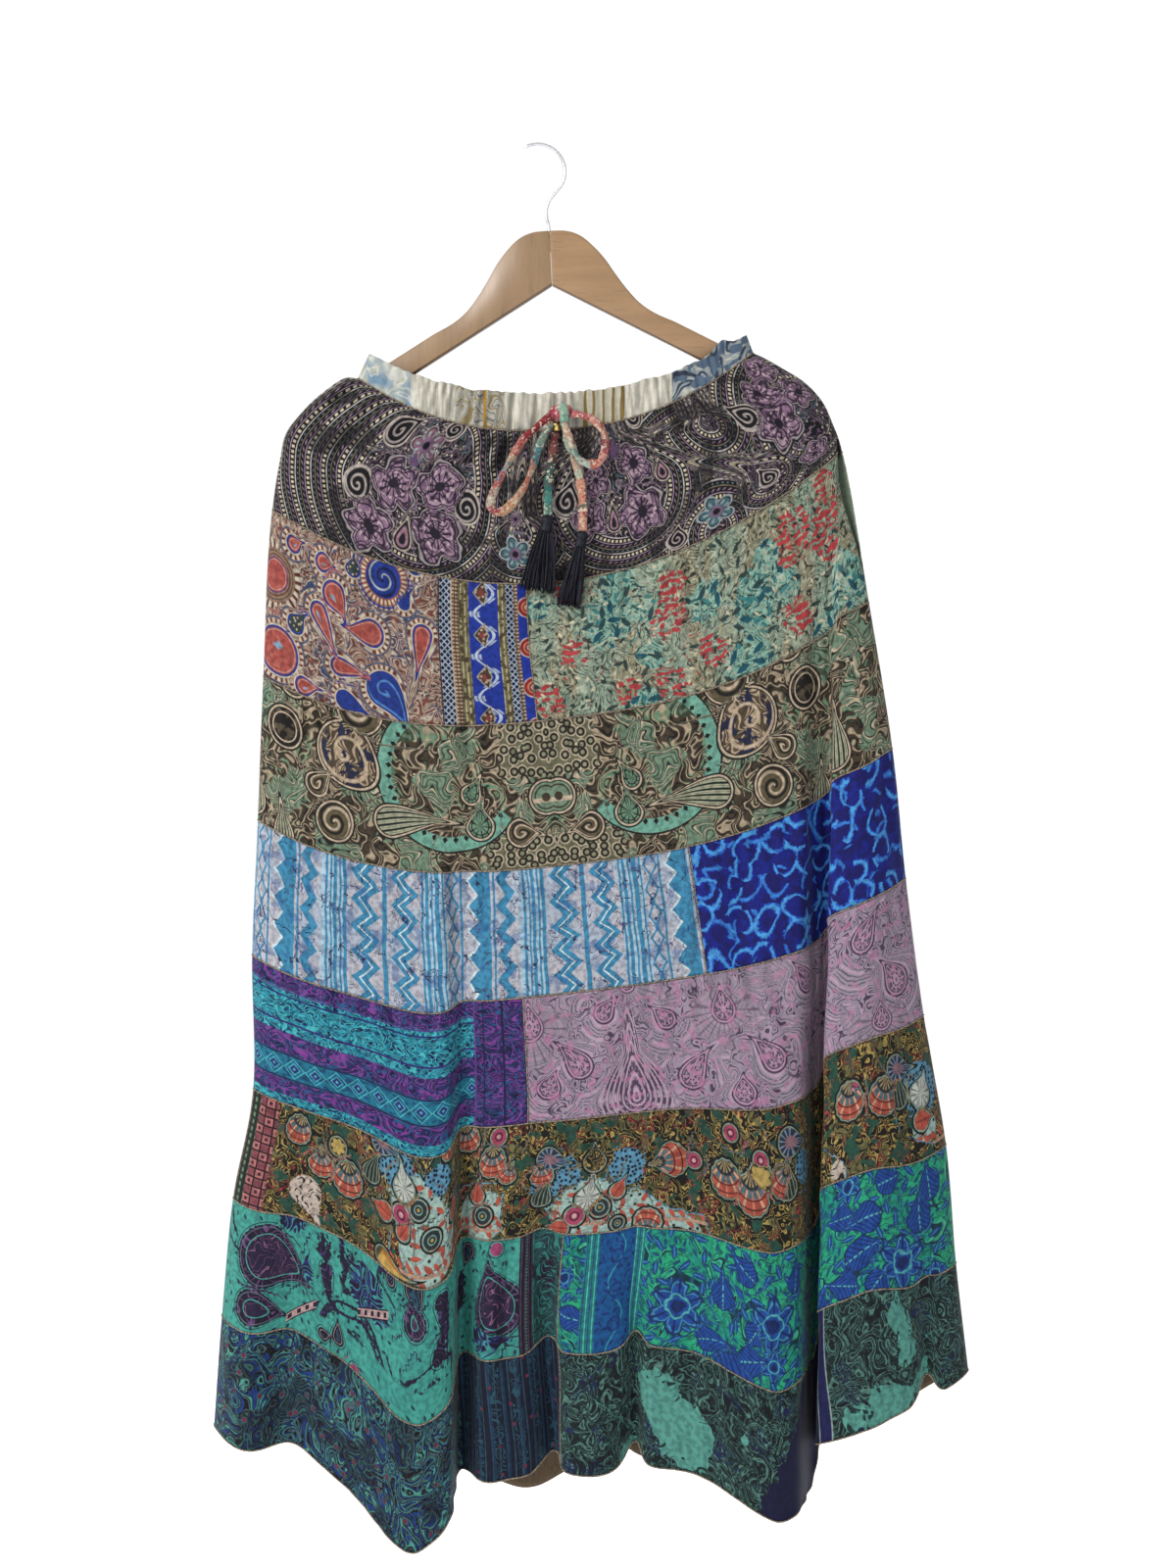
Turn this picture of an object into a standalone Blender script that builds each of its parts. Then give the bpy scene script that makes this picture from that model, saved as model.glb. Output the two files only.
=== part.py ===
# Tiered patchwork maxi skirt hanging from a wooden hanger.
#
# The origin is the underside of the hook's top, where a rail would carry it.
# +Z is up, +X is to the viewer's right and the front of the skirt faces -Y.
# The skirt is a flat tube: an elastic waistband and eight gathered tiers, each
# cut in patches, that flares and falls into deeper folds towards the hem.
# Sizes in the tables are millimetres, and MM turns them into metres.

import math
from collections import namedtuple

import bmesh
import bpy
import numpy as np
from mathutils import Matrix, Vector

MM = 0.001

# Cloth
WALL = 1.6                 # thickness of a cloth wall
SEAM_GAP = 0.3             # space between neighbouring pieces
SECTION_LENGTH = 600.0     # about how long a level is from side to side along its folds
TIERS = 8
HEM_LEVEL = TIERS + 1.0    # level 0 is the top of the waistband, 1 its lower seam
FRONT_COLUMNS = 40         # wall facets across a tier in front
BACK_COLUMNS = 28
TOP_COLUMNS = (56, 40)     # facets across the waistband and tier 1, in front and behind
SIDE_CROWDING = 0.6        # how far those facets crowd towards the rounded sides
FRONT_ROWS = 3             # wall facets down a tier
BACK_ROWS = 2
TOP_TIER_LEVELS = (1.0, 1.1, 1.2, 1.35, 1.5, 1.75, 2.0)   # tier 1 bends over the hanger's ends
BAND_GATHER = 1.5          # height of the elastic gathers
BAND_WAVES = (14, 10)      # in front and behind
TIER_GATHER = 1.6          # height of the gathers under a tier's seam
TOP_TIER_GATHER = 2.2
GATHER_SEAT = 0.25         # share of a tier's height where its gathers stand highest
BACK_SLACK = 4.0           # how much lower the back hangs at its middle

# A row is a horizontal section of the tube: where its sides are, how far its
# middle droops, how flat the droop is, half its depth and the roundness of its sides.
Section = namedtuple(
    "Section", "level left_x left_z right_x right_z middle_z fullness half_depth side_round"
)
SECTIONS = [
    Section(0.00, -150, -187, 189, -170, -223, 2.3, 11.5, 12),
    Section(1.00, -160, -208.8, 195, -186, -256, 2.3, 11.5, 12),
    Section(1.10, -173, -209, 206, -191, -270, 2.2, 11.5, 12),
    Section(1.20, -192, -222, 220, -199, -284, 2.2, 11.5, 12),
    Section(1.35, -211, -240, 242, -213, -305, 2.1, 11.6, 12),
    Section(1.50, -225, -259, 258, -231, -326, 2.1, 11.8, 14),
    Section(1.65, -230, -282, 267, -251, -348, 2.0, 12.2, 16),
    Section(2.00, -237, -327, 275, -275, -392, 2.0, 13.0, 25),
    Section(3.00, -245, -476, 299, -410, -514, 2.6, 17.0, 40),
    Section(4.00, -250, -605, 320, -541, -644, 2.8, 20.0, 50),
    Section(5.00, -255, -726, 332, -658, -758, 3.0, 24.0, 60),
    Section(6.00, -254, -846, 348, -780, -870, 3.0, 28.0, 70),
    Section(7.00, -272, -944, 368, -896, -972, 3.0, 32.0, 70),
    Section(8.00, -282, -1049, 377, -1002, -1077, 3.0, 36.0, 70),
    Section(9.00, -289, -1147, 388, -1098, -1183, 3.0, 40.0, 70),
]

# A row is one fold: where its line starts and where it meets the hem, the level
# at which it begins, how far it stands out (a valley is negative), how far the
# hem drops at it, and the width of its left and right slopes.
Fold = namedtuple("Fold", "name top_x hem_x start depth drop left_width right_width")
FRONT_FOLDS = [
    Fold("left edge ridge", -255, -270, 6.0, 12, 6, 18, 26),
    Fold("left valley", -215, -217, 5.5, -14, -14, 24, 26),
    Fold("great left ridge", -81, -107, 3.6, 26, 60, 48, 29),
    Fold("sharp left valley", -63, -70, 2.8, -30, -14, 9, 15),
    Fold("middle left ridge", -41, -41, 6.0, 8, 2, 14, 16),
    Fold("middle valley", -24, 16, 5.6, -22, -18, 14, 14),
    Fold("middle ridge", 48, 51, 6.5, 8, 2, 20, 18),
    Fold("small valley", 89, 89, 6.4, -16, -22, 12, 12),
    Fold("broad right ridge", 195, 209, 4.2, 22, 46, 52, 32),
    Fold("deep right valley", 267, 257, 2.2, -46, -2, 13, 10),
    Fold("right panel ridge", 296, 292, 1.8, 14, -18, 16, 34),
    Fold("hem notch", 348, 348, 7.5, -12, -24, 9, 9),
]
BACK_FOLDS = [
    Fold("right ridge behind", 300, 318, 5.0, 20, 30, 40, 34),
    Fold("right valley behind", 230, 236, 3.5, -18, -14, 22, 22),
    Fold("broad ridge behind", 140, 150, 4.0, 24, 34, 46, 40),
    Fold("middle valley behind", 70, 72, 5.0, -14, -16, 18, 18),
    Fold("middle ridge behind", 0, -8, 4.5, 20, 26, 40, 36),
    Fold("left valley behind", -80, -84, 3.5, -16, -14, 20, 20),
    Fold("left ridge behind", -150, -168, 4.5, 22, 34, 44, 40),
    Fold("left edge valley behind", -225, -232, 6.0, -14, -12, 18, 18),
]

# A row is one tier: its upright patch seam as a share of the width in front, or
# None, its gathers in front and behind, and its plain colour left, right, behind.
Tier = namedtuple("Tier", "patch_seam front_waves back_waves left_colour right_colour back_colour")
TIER_TABLE = [
    Tier(None, 14, 10, (0.016, 0.012, 0.025), (0.016, 0.012, 0.025), (0.016, 0.012, 0.025)),
    Tier(0.455, 8, 5, (0.42, 0.22, 0.15), (0.22, 0.42, 0.32), (0.42, 0.22, 0.15)),
    Tier(None, 8, 5, (0.20, 0.24, 0.14), (0.20, 0.24, 0.14), (0.20, 0.24, 0.14)),
    Tier(0.65, 8, 5, (0.42, 0.50, 0.60), (0.02, 0.05, 0.35), (0.02, 0.05, 0.35)),
    Tier(0.40, 8, 5, (0.03, 0.28, 0.36), (0.38, 0.24, 0.36), (0.38, 0.24, 0.36)),
    Tier(None, 8, 5, (0.30, 0.22, 0.10), (0.30, 0.22, 0.10), (0.30, 0.22, 0.10)),
    Tier(0.455, 8, 5, (0.05, 0.35, 0.30), (0.03, 0.30, 0.35), (0.03, 0.30, 0.35)),
    Tier(0.455, 8, 5, (0.02, 0.05, 0.10), (0.03, 0.12, 0.10), (0.02, 0.05, 0.10)),
]

# Hanger, in its own upright frame before it is turned by ROLL
ROLL = 3.0                 # degrees that its left end hangs low
JOINT_X = 7.9              # the upright joint between its two arms
WOOD_THICKNESS = 11.0
WOOD_EDGE = 2.4            # rounding of its edges
ARM_REACH = 220.0          # from the joint to an arm's end
ARM_SLOPE = 0.566
ARM_DEPTH = 24.4           # upright depth of an arm
ARM_END_ROUND = 9.0
PEAK_Z = -126.5            # underside at the joint
HEAD_PROFILE = [           # distance from the joint, height of the top edge
    (0, -77.0), (15, -77.9), (27, -82.5), (37, -91.0), (48, -104.0), (57.5, -119.0),
    (67, -133.0), (78, -146.0), (91, -155.8), (108, -164.3),
]
WIRE = 3.2                 # hook wire diameter
STEM_HOLE = 4.0
STEM_DEPTH = 20.0          # how far the stem goes into the wood
HOOK_CENTRE = (1.5, -23.0)
HOOK_RADIUS = 24.6
HOOK_ARC = (122.0, -42.0)  # degrees, from the tip over the top and down
HOOK_STEM = [(15.2, -45.2), (11.2, -51.0), (9.4, -58.0), (9.9, -66.0), (11.4, -72.0)]

# Drawstring
CORD = 6.4                 # diameter of the drawstring's plain solid
LOOP_Y = -25.6             # the loops lie in front of the tails
TAIL_Y = -18.6
KNOT = (22.0, -19.8, -242.0)
KNOT_SIZE = (22.0, 13.8, 16.0)
LOOP_LEFT = [(12.6, -245.3), (1, -255), (-13, -269), (-31, -300), (-40, -321), (-37, -330),
             (-27, -329), (-13, -313), (-3, -292), (4, -270), (13.8, -251.0)]
LOOP_RIGHT = [(32.4, -243.3), (43, -245), (53, -250), (61, -261), (62, -274), (57, -286),
              (48, -288), (39, -284), (33, -273), (29, -262), (25.2, -251.2)]
TAIL_LEFT = [(17.9, -259.0), (15, -276), (12, -298), (11, -316), (11, -333)]
TAIL_RIGHT = [(25.5, -250.6), (28, -264), (33, -278), (38, -294), (41, -312), (42, -330), (42, -347)]
BEAD = (18.2, -18.9, -254.2)
BEAD_SIZE = 8.6
TASSEL_LEFT = ((11.0, -333.6), (1.0, -402.0), 17.0)     # top, foot, half width of the foot
TASSEL_RIGHT = ((42.0, -347.6), (29.0, -415.0), 11.0)
TASSEL_HEAD = 10.0         # width of the bound head
TASSEL_HEAD_DEPTH = 14.0
TASSEL_OUT = 2.5           # how much further forward than the tail the tassels hang
TASSEL_SIDES = 8
TASSEL_FLATNESS = 0.55


def clear_scene():
    for old in list(bpy.data.objects):
        bpy.data.objects.remove(old, do_unlink=True)


def material(name, colour, roughness, metallic=0.0):
    made = bpy.data.materials.new(name)
    made.use_nodes = True
    shader = made.node_tree.nodes["Principled BSDF"]
    shader.inputs["Base Color"].default_value = (*colour, 1.0)
    shader.inputs["Roughness"].default_value = roughness
    shader.inputs["Metallic"].default_value = metallic
    return made


def add_object(name, data, collection, finish):
    made = bpy.data.objects.new(name, data)
    collection.objects.link(made)
    made.data.materials.append(finish)
    return made


def section_at(level):
    """Each column of SECTIONS at a level, along a smooth curve through its rows."""
    levels = np.array([row.level for row in SECTIONS])
    place = int(np.clip(np.searchsorted(levels, level) - 1, 0, len(levels) - 2))
    span = levels[place + 1] - levels[place]
    t = (level - levels[place]) / span
    weights = (2*t**3 - 3*t**2 + 1, t**3 - 2*t**2 + t, 3*t**2 - 2*t**3, t**3 - t**2)
    values = []
    for column in Section._fields:
        row_values = np.array([getattr(row, column) for row in SECTIONS], float)
        slopes = np.gradient(row_values, levels) * span
        values.append(
            weights[0] * row_values[place] + weights[1] * slopes[place]
            + weights[2] * row_values[place + 1] + weights[3] * slopes[place + 1]
        )
    return Section(*values)


def fold_growth(fold, level):
    """0 where a fold begins, rising smoothly to 1 at the hem."""
    t = np.clip((level - fold.start) / (HEM_LEVEL - fold.start), 0, 1)
    return t * t * (3 - 2 * t)


def fold_sums(x, level, folds):
    """How far the folds push the cloth out, and how far they drop it, at places x."""
    out, drop = np.zeros_like(x), np.zeros_like(x)
    share = (level - 1) / (HEM_LEVEL - 1)
    for fold in folds:
        line = fold.top_x + (fold.hem_x - fold.top_x) * share
        width = np.where(x < line, fold.left_width, fold.right_width)
        bump = np.exp(-((x - line) / width) ** 2) * fold_growth(fold, level)
        out += fold.depth * bump
        drop += fold.drop * bump
    return out, drop


def cloth_at_x(x, level, front):
    """Middle of the cloth wall at places x of a level, in front or behind."""
    row = section_at(level)
    width = row.right_x - row.left_x
    u = np.clip((x - row.left_x) / width, 0, 1)
    chord = row.left_z + (row.right_z - row.left_z) * u
    droop = (row.left_z + row.right_z) / 2 - row.middle_z
    if not front:
        droop += BACK_SLACK
    z = chord - droop * (1 - np.abs(2 * u - 1) ** row.fullness)
    out, drop = fold_sums(x, level, FRONT_FOLDS if front else BACK_FOLDS)
    to_side = np.minimum(u, 1 - u) * width
    near = 1 - np.minimum(to_side / row.side_round, 1)
    rounding = np.sqrt(1 - near ** 2)
    y = (row.half_depth + out) * rounding
    return np.stack([x, -y if front else y, z - drop * rounding], axis=-1)


def cloth(shares, level, front):
    """Middle of the cloth wall at shares of a level's length, left to right."""
    row = section_at(level)
    fine = (1 - np.cos(np.linspace(0, math.pi, 1601))) / 2
    x = row.left_x + (row.right_x - row.left_x) * fine
    line = cloth_at_x(x, level, front)
    along = np.concatenate([[0], np.cumsum(np.linalg.norm(np.diff(line, axis=0), axis=1))])
    return cloth_at_x(np.interp(shares * along[-1], along, x), level, front)


def cloth_grid(shares, levels, front, gather, waves, fades):
    """Points and outward normals of a panel's middle, with its gathers added."""
    step_share, step_level = 0.0008, 0.004
    points, normals = [], []
    for level in levels:
        across = (cloth(np.clip(shares + step_share, 0, 1), level, front)
                  - cloth(np.clip(shares - step_share, 0, 1), level, front))
        down = (cloth(shares, min(level + step_level, HEM_LEVEL), front)
                - cloth(shares, max(level - step_level, 0), front))
        normal = np.cross(down, across) if front else np.cross(across, down)
        normal /= np.linalg.norm(normal, axis=-1, keepdims=True)
        points.append(cloth(shares, level, front))
        normals.append(normal)
    points, normals = np.array(points), np.array(normals)
    share = np.clip((np.array(levels) - levels[0]) / (levels[-1] - levels[0]), 0, 1)
    if fades:
        height = share * (1 - share) ** 3
        height /= GATHER_SEAT * (1 - GATHER_SEAT) ** 3
    else:
        height = 1 - share
    phase = 2 * math.pi * waves * shares + 0.5 * np.sin(2 * math.pi * 3 * shares)
    strength = 0.7 + 0.3 * np.sin(2 * math.pi * 2.3 * shares + 0.8)
    at_sides = np.clip(np.minimum(shares, 1 - shares) * waves, 0, 1)
    push = gather * height[:, None] * (np.sin(phase) * strength * at_sides)[None, :]
    return points + normals * push[..., None], normals


def wall_mesh(name, points, normals):
    """A closed wall: the grid moved out and in by half its thickness, and its rims."""
    rows, columns = points.shape[:2]
    count = rows * columns
    outer = (points + normals * WALL / 2).reshape(-1, 3)
    inner = (points - normals * WALL / 2).reshape(-1, 3)
    index = np.arange(count).reshape(rows, columns)
    a, b = index[:-1, :-1].ravel(), index[:-1, 1:].ravel()
    c, d = index[1:, 1:].ravel(), index[1:, :-1].ravel()
    faces = [np.stack([a, d, c], 1), np.stack([a, c, b], 1)]
    faces += [np.stack([a, c, d], 1) + count, np.stack([a, b, c], 1) + count]
    # Facing rims of two neighbours are split along the same diagonals, so they stay apart.
    for edge, inwards in ((index[0], False), (index[:, -1], False), (index[-1], True), (index[:, 0], True)):
        first, after = edge[:-1], edge[1:]
        if inwards:
            faces += [np.stack([first, after + count, after], 1),
                      np.stack([first, first + count, after + count], 1)]
        else:
            faces += [np.stack([first, after, after + count], 1),
                      np.stack([first, after + count, first + count], 1)]
    mesh = bpy.data.meshes.new(name)
    mesh.from_pydata((np.concatenate([outer, inner]) * MM).tolist(), [],
                     np.concatenate(faces).tolist())
    made = bmesh.new()
    made.from_mesh(mesh)
    bmesh.ops.recalc_face_normals(made, faces=made.faces)
    made.to_mesh(mesh)
    made.free()
    mesh.shade_smooth()
    mesh.set_sharp_from_angle(angle=math.radians(50))
    return mesh


def stations(columns, seams, crowding=0.0):
    """Shares of the width where the wall has a column, with every patch seam among them."""
    even = np.linspace(0, 1, columns + 1)
    even += crowding * ((1 - np.cos(math.pi * even)) / 2 - even)
    for seam in seams:
        even[np.abs(even - seam).argmin()] = seam
    return even


def panel_levels(top, foot, rows):
    """Levels of a panel's rows, held back by half a seam gap at its top and foot."""
    if top == 1:
        levels = np.array(TOP_TIER_LEVELS)
    else:
        levels = np.linspace(top, foot, rows + 1)
    tier_height = (section_at(top).middle_z - section_at(foot).middle_z) / (foot - top)
    hold = SEAM_GAP / 2 / tier_height
    levels[0] = top + (hold if top > 0 else 0)
    levels[-1] = foot - (hold if foot < HEM_LEVEL else 0)
    return levels


def panel(name, shares, levels, front, gather, waves, fades, finish, collection):
    hold = SEAM_GAP / 2 / SECTION_LENGTH
    held = shares.copy()
    held[0] += hold
    held[-1] -= hold
    points, normals = cloth_grid(held, levels, front, gather, waves, fades)
    add_object(name, wall_mesh(name, points, normals), collection, finish)


def build_skirt(collection):
    linen = material("waistband_cloth", (0.72, 0.68, 0.58), 0.85)
    for front, side, columns, waves in zip((True, False), ("front", "back"), TOP_COLUMNS, BAND_WAVES):
        panel(f"waistband_{side}", stations(columns, [], SIDE_CROWDING), panel_levels(0, 1, 1), front,
              BAND_GATHER, waves, False, linen, collection)
    seams = [tier.patch_seam for tier in TIER_TABLE if tier.patch_seam]
    for number, tier in enumerate(TIER_TABLE, 1):
        gather = TOP_TIER_GATHER if number == 1 else TIER_GATHER
        columns, back_columns = TOP_COLUMNS if number == 1 else (FRONT_COLUMNS, BACK_COLUMNS)
        crowding = SIDE_CROWDING if number == 1 else 0.0
        shares = stations(columns, [] if number == 1 else seams, crowding)
        levels = panel_levels(number, number + 1, FRONT_ROWS)
        finish = [material(f"tier_{number}_{part}_cloth", colour, 0.8) for part, colour in
                  (("left", tier.left_colour), ("right", tier.right_colour), ("back", tier.back_colour))]
        if tier.patch_seam:
            cut = int(np.abs(shares - tier.patch_seam).argmin())
            panel(f"tier_{number}_front_left", shares[:cut + 1], levels, True, gather,
                  tier.front_waves, True, finish[0], collection)
            panel(f"tier_{number}_front_right", shares[cut:], levels, True, gather,
                  tier.front_waves, True, finish[1], collection)
        else:
            panel(f"tier_{number}_front", shares, levels, True, gather,
                  tier.front_waves, True, finish[0], collection)
        panel(f"tier_{number}_back", stations(back_columns, [], crowding),
              panel_levels(number, number + 1, BACK_ROWS), False, gather,
              tier.back_waves, True, finish[2], collection)


def hanger_outline():
    """Half the hanger from the joint outwards along its top and back underneath."""
    outline = list(HEAD_PROFILE)
    top_end = HEAD_PROFILE[-1][1] - ARM_SLOPE * (ARM_REACH - HEAD_PROFILE[-1][0])
    foot_end = top_end - ARM_DEPTH
    turn = math.atan(ARM_SLOPE)
    centre_x = ARM_REACH - ARM_END_ROUND
    for end_z, start, down in ((top_end, 90, -1), (foot_end, 0, 1)):
        centre_z = end_z + ARM_SLOPE * ARM_END_ROUND + down * ARM_END_ROUND / math.cos(turn)
        for step in range(4):
            angle = math.radians(start - 30 * step) - (turn if start == 90 else turn * step / 3)
            outline.append((centre_x + ARM_END_ROUND * math.cos(angle),
                            centre_z + ARM_END_ROUND * math.sin(angle)))
    outline.append((0, PEAK_Z))
    return outline


def new_cutter(name, collection):
    """Names the solid that was just added and keeps it out of sight with the cutters."""
    cutter = bpy.context.object
    cutter.name = name
    for held in list(cutter.users_collection):
        held.objects.unlink(cutter)
    collection.objects.link(cutter)
    cutter.hide_render = True
    cutter.display_type = "WIRE"
    return cutter


def subtract(made, cutter):
    cut = made.modifiers.new("Cut", "BOOLEAN")
    cut.operation = "DIFFERENCE"
    cut.object = cutter


def build_hanger(collection, cutters):
    wood = material("beech_wood", (0.56, 0.33, 0.15), 0.45)
    steel = material("hook_steel", (0.55, 0.56, 0.58), 0.3, 1.0)
    roll = Matrix.Rotation(math.radians(-ROLL), 4, "Y")
    half = hanger_outline()
    outline = [(JOINT_X + x, z) for x, z in half]
    outline += [(JOINT_X - x, z) for x, z in reversed(half[1:-1])]
    bpy.ops.mesh.primitive_cylinder_add(
        vertices=12, radius=STEM_HOLE / 2 * MM, depth=2 * STEM_DEPTH * MM,
        location=roll @ Vector((JOINT_X, 0, HEAD_PROFILE[0][1])) * MM,
        rotation=(0, math.radians(-ROLL), 0))
    hole = new_cutter("stem_hole_cutter", cutters)
    box_side = 2 * ARM_REACH
    for side, sign in (("left", 1), ("right", -1)):
        mesh = bpy.data.meshes.new(f"hanger_arm_{side}")
        made = bmesh.new()
        corners = [made.verts.new((x * MM, -WOOD_THICKNESS / 2 * MM, z * MM)) for x, z in outline]
        flat = made.faces.new(corners)
        grown = bmesh.ops.extrude_face_region(made, geom=[flat])
        moved = [item for item in grown["geom"] if isinstance(item, bmesh.types.BMVert)]
        bmesh.ops.translate(made, vec=(0, WOOD_THICKNESS * MM, 0), verts=moved)
        bmesh.ops.recalc_face_normals(made, faces=made.faces)
        made.to_mesh(mesh)
        made.free()
        mesh.shade_smooth()
        mesh.set_sharp_from_angle(angle=math.radians(40))
        arm = add_object(f"hanger_arm_{side}", mesh, collection, wood)
        arm.rotation_euler = (0, math.radians(-ROLL), 0)
        edge = arm.modifiers.new("Edges", "BEVEL")
        edge.width = WOOD_EDGE * MM
        edge.segments = 2
        edge.limit_method = "ANGLE"
        edge.angle_limit = math.radians(60)
        middle = (JOINT_X + sign * (box_side / 2 - SEAM_GAP / 2), 0, PEAK_Z)
        bpy.ops.mesh.primitive_cube_add(size=box_side * MM, location=roll @ Vector(middle) * MM,
                                        rotation=(0, math.radians(-ROLL), 0))
        half_box = new_cutter(f"joint_cutter_{side}", cutters)
        subtract(arm, half_box)
        subtract(arm, hole)

    start, end = HOOK_ARC
    points = []
    for step in range(15):
        angle = math.radians(start + (end - start) * step / 14)
        points.append((HOOK_CENTRE[0] + HOOK_RADIUS * math.cos(angle), 0,
                       HOOK_CENTRE[1] + HOOK_RADIUS * math.sin(angle)))
    points += [(x, 0, z) for x, z in HOOK_STEM]
    stem_end = roll @ Vector((JOINT_X, 0, HEAD_PROFILE[0][1] - STEM_DEPTH + 1))
    points.append(tuple(stem_end))
    add_tube("hanger_hook", smooth_path(points, 30), WIRE, collection, steel)


def smooth_path(points, count):
    """Evenly spaced points on a smooth curve through the given ones."""
    points = np.array(points, float)
    padded = np.concatenate([2 * points[:1] - points[1:2], points, 2 * points[-1:] - points[-2:-1]])
    t = np.linspace(0, 1, 12, endpoint=False)[:, None]
    curve = []
    for a, b, c, d in zip(padded, padded[1:], padded[2:], padded[3:]):
        curve.append(0.5 * (2*b + (c - a)*t + (2*a - 5*b + 4*c - d)*t**2 + (3*b - a - 3*c + d)*t**3))
    curve = np.concatenate(curve + [points[-1:]])
    along = np.concatenate([[0], np.cumsum(np.linalg.norm(np.diff(curve, axis=0), axis=1))])
    at = np.linspace(0, along[-1], count)
    return np.stack([np.interp(at, along, curve[:, k]) for k in range(3)], axis=1)


def add_tube(name, path, diameter, collection, finish):
    curve = bpy.data.curves.new(name, "CURVE")
    curve.dimensions = "3D"
    curve.bevel_depth = diameter / 2 * MM
    curve.bevel_resolution = 2
    curve.use_fill_caps = True
    spline = curve.splines.new("POLY")
    spline.points.add(len(path) - 1)
    for point, place in zip(spline.points, path):
        point.co = (*(np.array(place) * MM), 1.0)
    return add_object(name, curve, collection, finish)


def ball(name, centre, size, segments, rings, collection, finish):
    mesh = bpy.data.meshes.new(name)
    made = bmesh.new()
    bmesh.ops.create_uvsphere(made, u_segments=segments, v_segments=rings, radius=0.5)
    for corner in made.verts:
        corner.co = Vector((corner.co.x * size[0], corner.co.y * size[1], corner.co.z * size[2])) * MM
    made.to_mesh(mesh)
    made.free()
    mesh.shade_smooth()
    ball_object = add_object(name, mesh, collection, finish)
    ball_object.location = Vector(centre) * MM
    return ball_object


def tassel(name, top, foot, half_width, collection, finish):
    """A bound head whose underside is grown into separate strands that splay outwards."""
    made = bmesh.new()
    radius = TASSEL_HEAD / 2
    neck = -TASSEL_HEAD_DEPTH
    rings = [(0.0, 0.35), (-1.5, 0.8), (-5.0, 1.0), (-9.0, 0.75), (-11.0, 0.95), (neck, 1.0)]
    corners = []
    for height, size in rings:
        ring = []
        for side in range(TASSEL_SIDES):
            angle = 2 * math.pi * side / TASSEL_SIDES
            ring.append(made.verts.new((radius * size * math.cos(angle),
                                        radius * size * math.sin(angle), height)))
        corners.append(ring)
    inner_ring = []
    for side in range(TASSEL_SIDES):
        angle = 2 * math.pi * side / TASSEL_SIDES
        inner_ring.append(made.verts.new((radius * 0.5 * math.cos(angle),
                                          radius * 0.5 * math.sin(angle), neck)))
    centre = made.verts.new((0, 0, neck))
    made.faces.new(list(reversed(corners[0])))
    for upper, lower in zip(corners, corners[1:]):
        for side in range(TASSEL_SIDES):
            after = (side + 1) % TASSEL_SIDES
            made.faces.new((upper[side], lower[side], lower[after], upper[after]))
    underside = []
    for side in range(TASSEL_SIDES):
        after = (side + 1) % TASSEL_SIDES
        underside.append(made.faces.new((corners[-1][side], inner_ring[side],
                                         inner_ring[after], corners[-1][after])))
    for side in range(0, TASSEL_SIDES, 2):
        underside.append(made.faces.new((inner_ring[side], centre,
                                         inner_ring[(side + 2) % TASSEL_SIDES],
                                         inner_ring[side + 1])))
    bmesh.ops.recalc_face_normals(made, faces=made.faces)
    bmesh.ops.inset_individual(made, faces=underside, thickness=0.28)
    length = math.dist(top, foot) - TASSEL_HEAD_DEPTH
    strands = bmesh.ops.extrude_discrete_faces(made, faces=underside)["faces"]
    for part in (0.45, 0.55):
        for number, face in enumerate(strands):
            middle = face.calc_center_median()
            uneven = 1 + 0.07 * math.sin(2.7 * number)
            spread = half_width / radius if abs(middle.x) > 0.01 else 1
            push = (middle.x * (spread - 1) * part * 0.75, 0.35 * middle.y * part)
            for corner in face.verts:
                corner.co.x += push[0]
                corner.co.y += push[1]
                corner.co.z -= length * part * uneven
        if part == 0.45:
            strands = bmesh.ops.extrude_discrete_faces(made, faces=strands)["faces"]
    lean = math.atan2(foot[0] - top[0], top[1] - foot[1])
    for corner in made.verts:
        corner.co.y *= TASSEL_FLATNESS if corner.co.z < neck - 0.5 else 0.9
    bmesh.ops.rotate(made, matrix=Matrix.Rotation(-lean, 3, "Y"), verts=made.verts)
    bmesh.ops.scale(made, vec=(MM, MM, MM), verts=made.verts)
    mesh = bpy.data.meshes.new(name)
    made.to_mesh(mesh)
    made.free()
    made_object = add_object(name, mesh, collection, finish)
    made_object.location = Vector((top[0], TAIL_Y - TASSEL_OUT, top[1])) * MM
    return made_object


def build_drawstring(collection):
    printed = material("drawstring_cloth", (0.70, 0.22, 0.17), 0.8)
    teal = material("tail_cloth", (0.02, 0.16, 0.15), 0.8)
    brass = material("bead_brass", (0.45, 0.33, 0.12), 0.35, 1.0)
    silk = material("tassel_thread", (0.01, 0.01, 0.03), 0.6)
    ball("drawstring_knot", KNOT, KNOT_SIZE, 12, 8, collection, printed)
    ball("drawstring_bead", BEAD, (BEAD_SIZE,) * 3, 12, 8, collection, brass)
    routes = (
        ("drawstring_loop_left", LOOP_LEFT, LOOP_Y, 16, printed),
        ("drawstring_loop_right", LOOP_RIGHT, LOOP_Y, 14, printed),
        ("drawstring_tail_left", TAIL_LEFT, TAIL_Y, 7, teal),
        ("drawstring_tail_right", TAIL_RIGHT, TAIL_Y, 9, printed),
    )
    for name, route, depth, count, finish in routes:
        path = smooth_path([(x, depth, z) for x, z in route], count)
        add_tube(name, path, CORD, collection, finish)
    tassel("tassel_left", *TASSEL_LEFT, collection, silk)
    tassel("tassel_right", *TASSEL_RIGHT, collection, silk)


def build():
    clear_scene()
    skirt = bpy.data.collections.new("maxi_skirt_on_hanger")
    cutters = bpy.data.collections.new("cutters")
    bpy.context.scene.collection.children.link(skirt)
    bpy.context.scene.collection.children.link(cutters)
    build_skirt(skirt)
    build_hanger(skirt, cutters)
    build_drawstring(skirt)


build()
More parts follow.
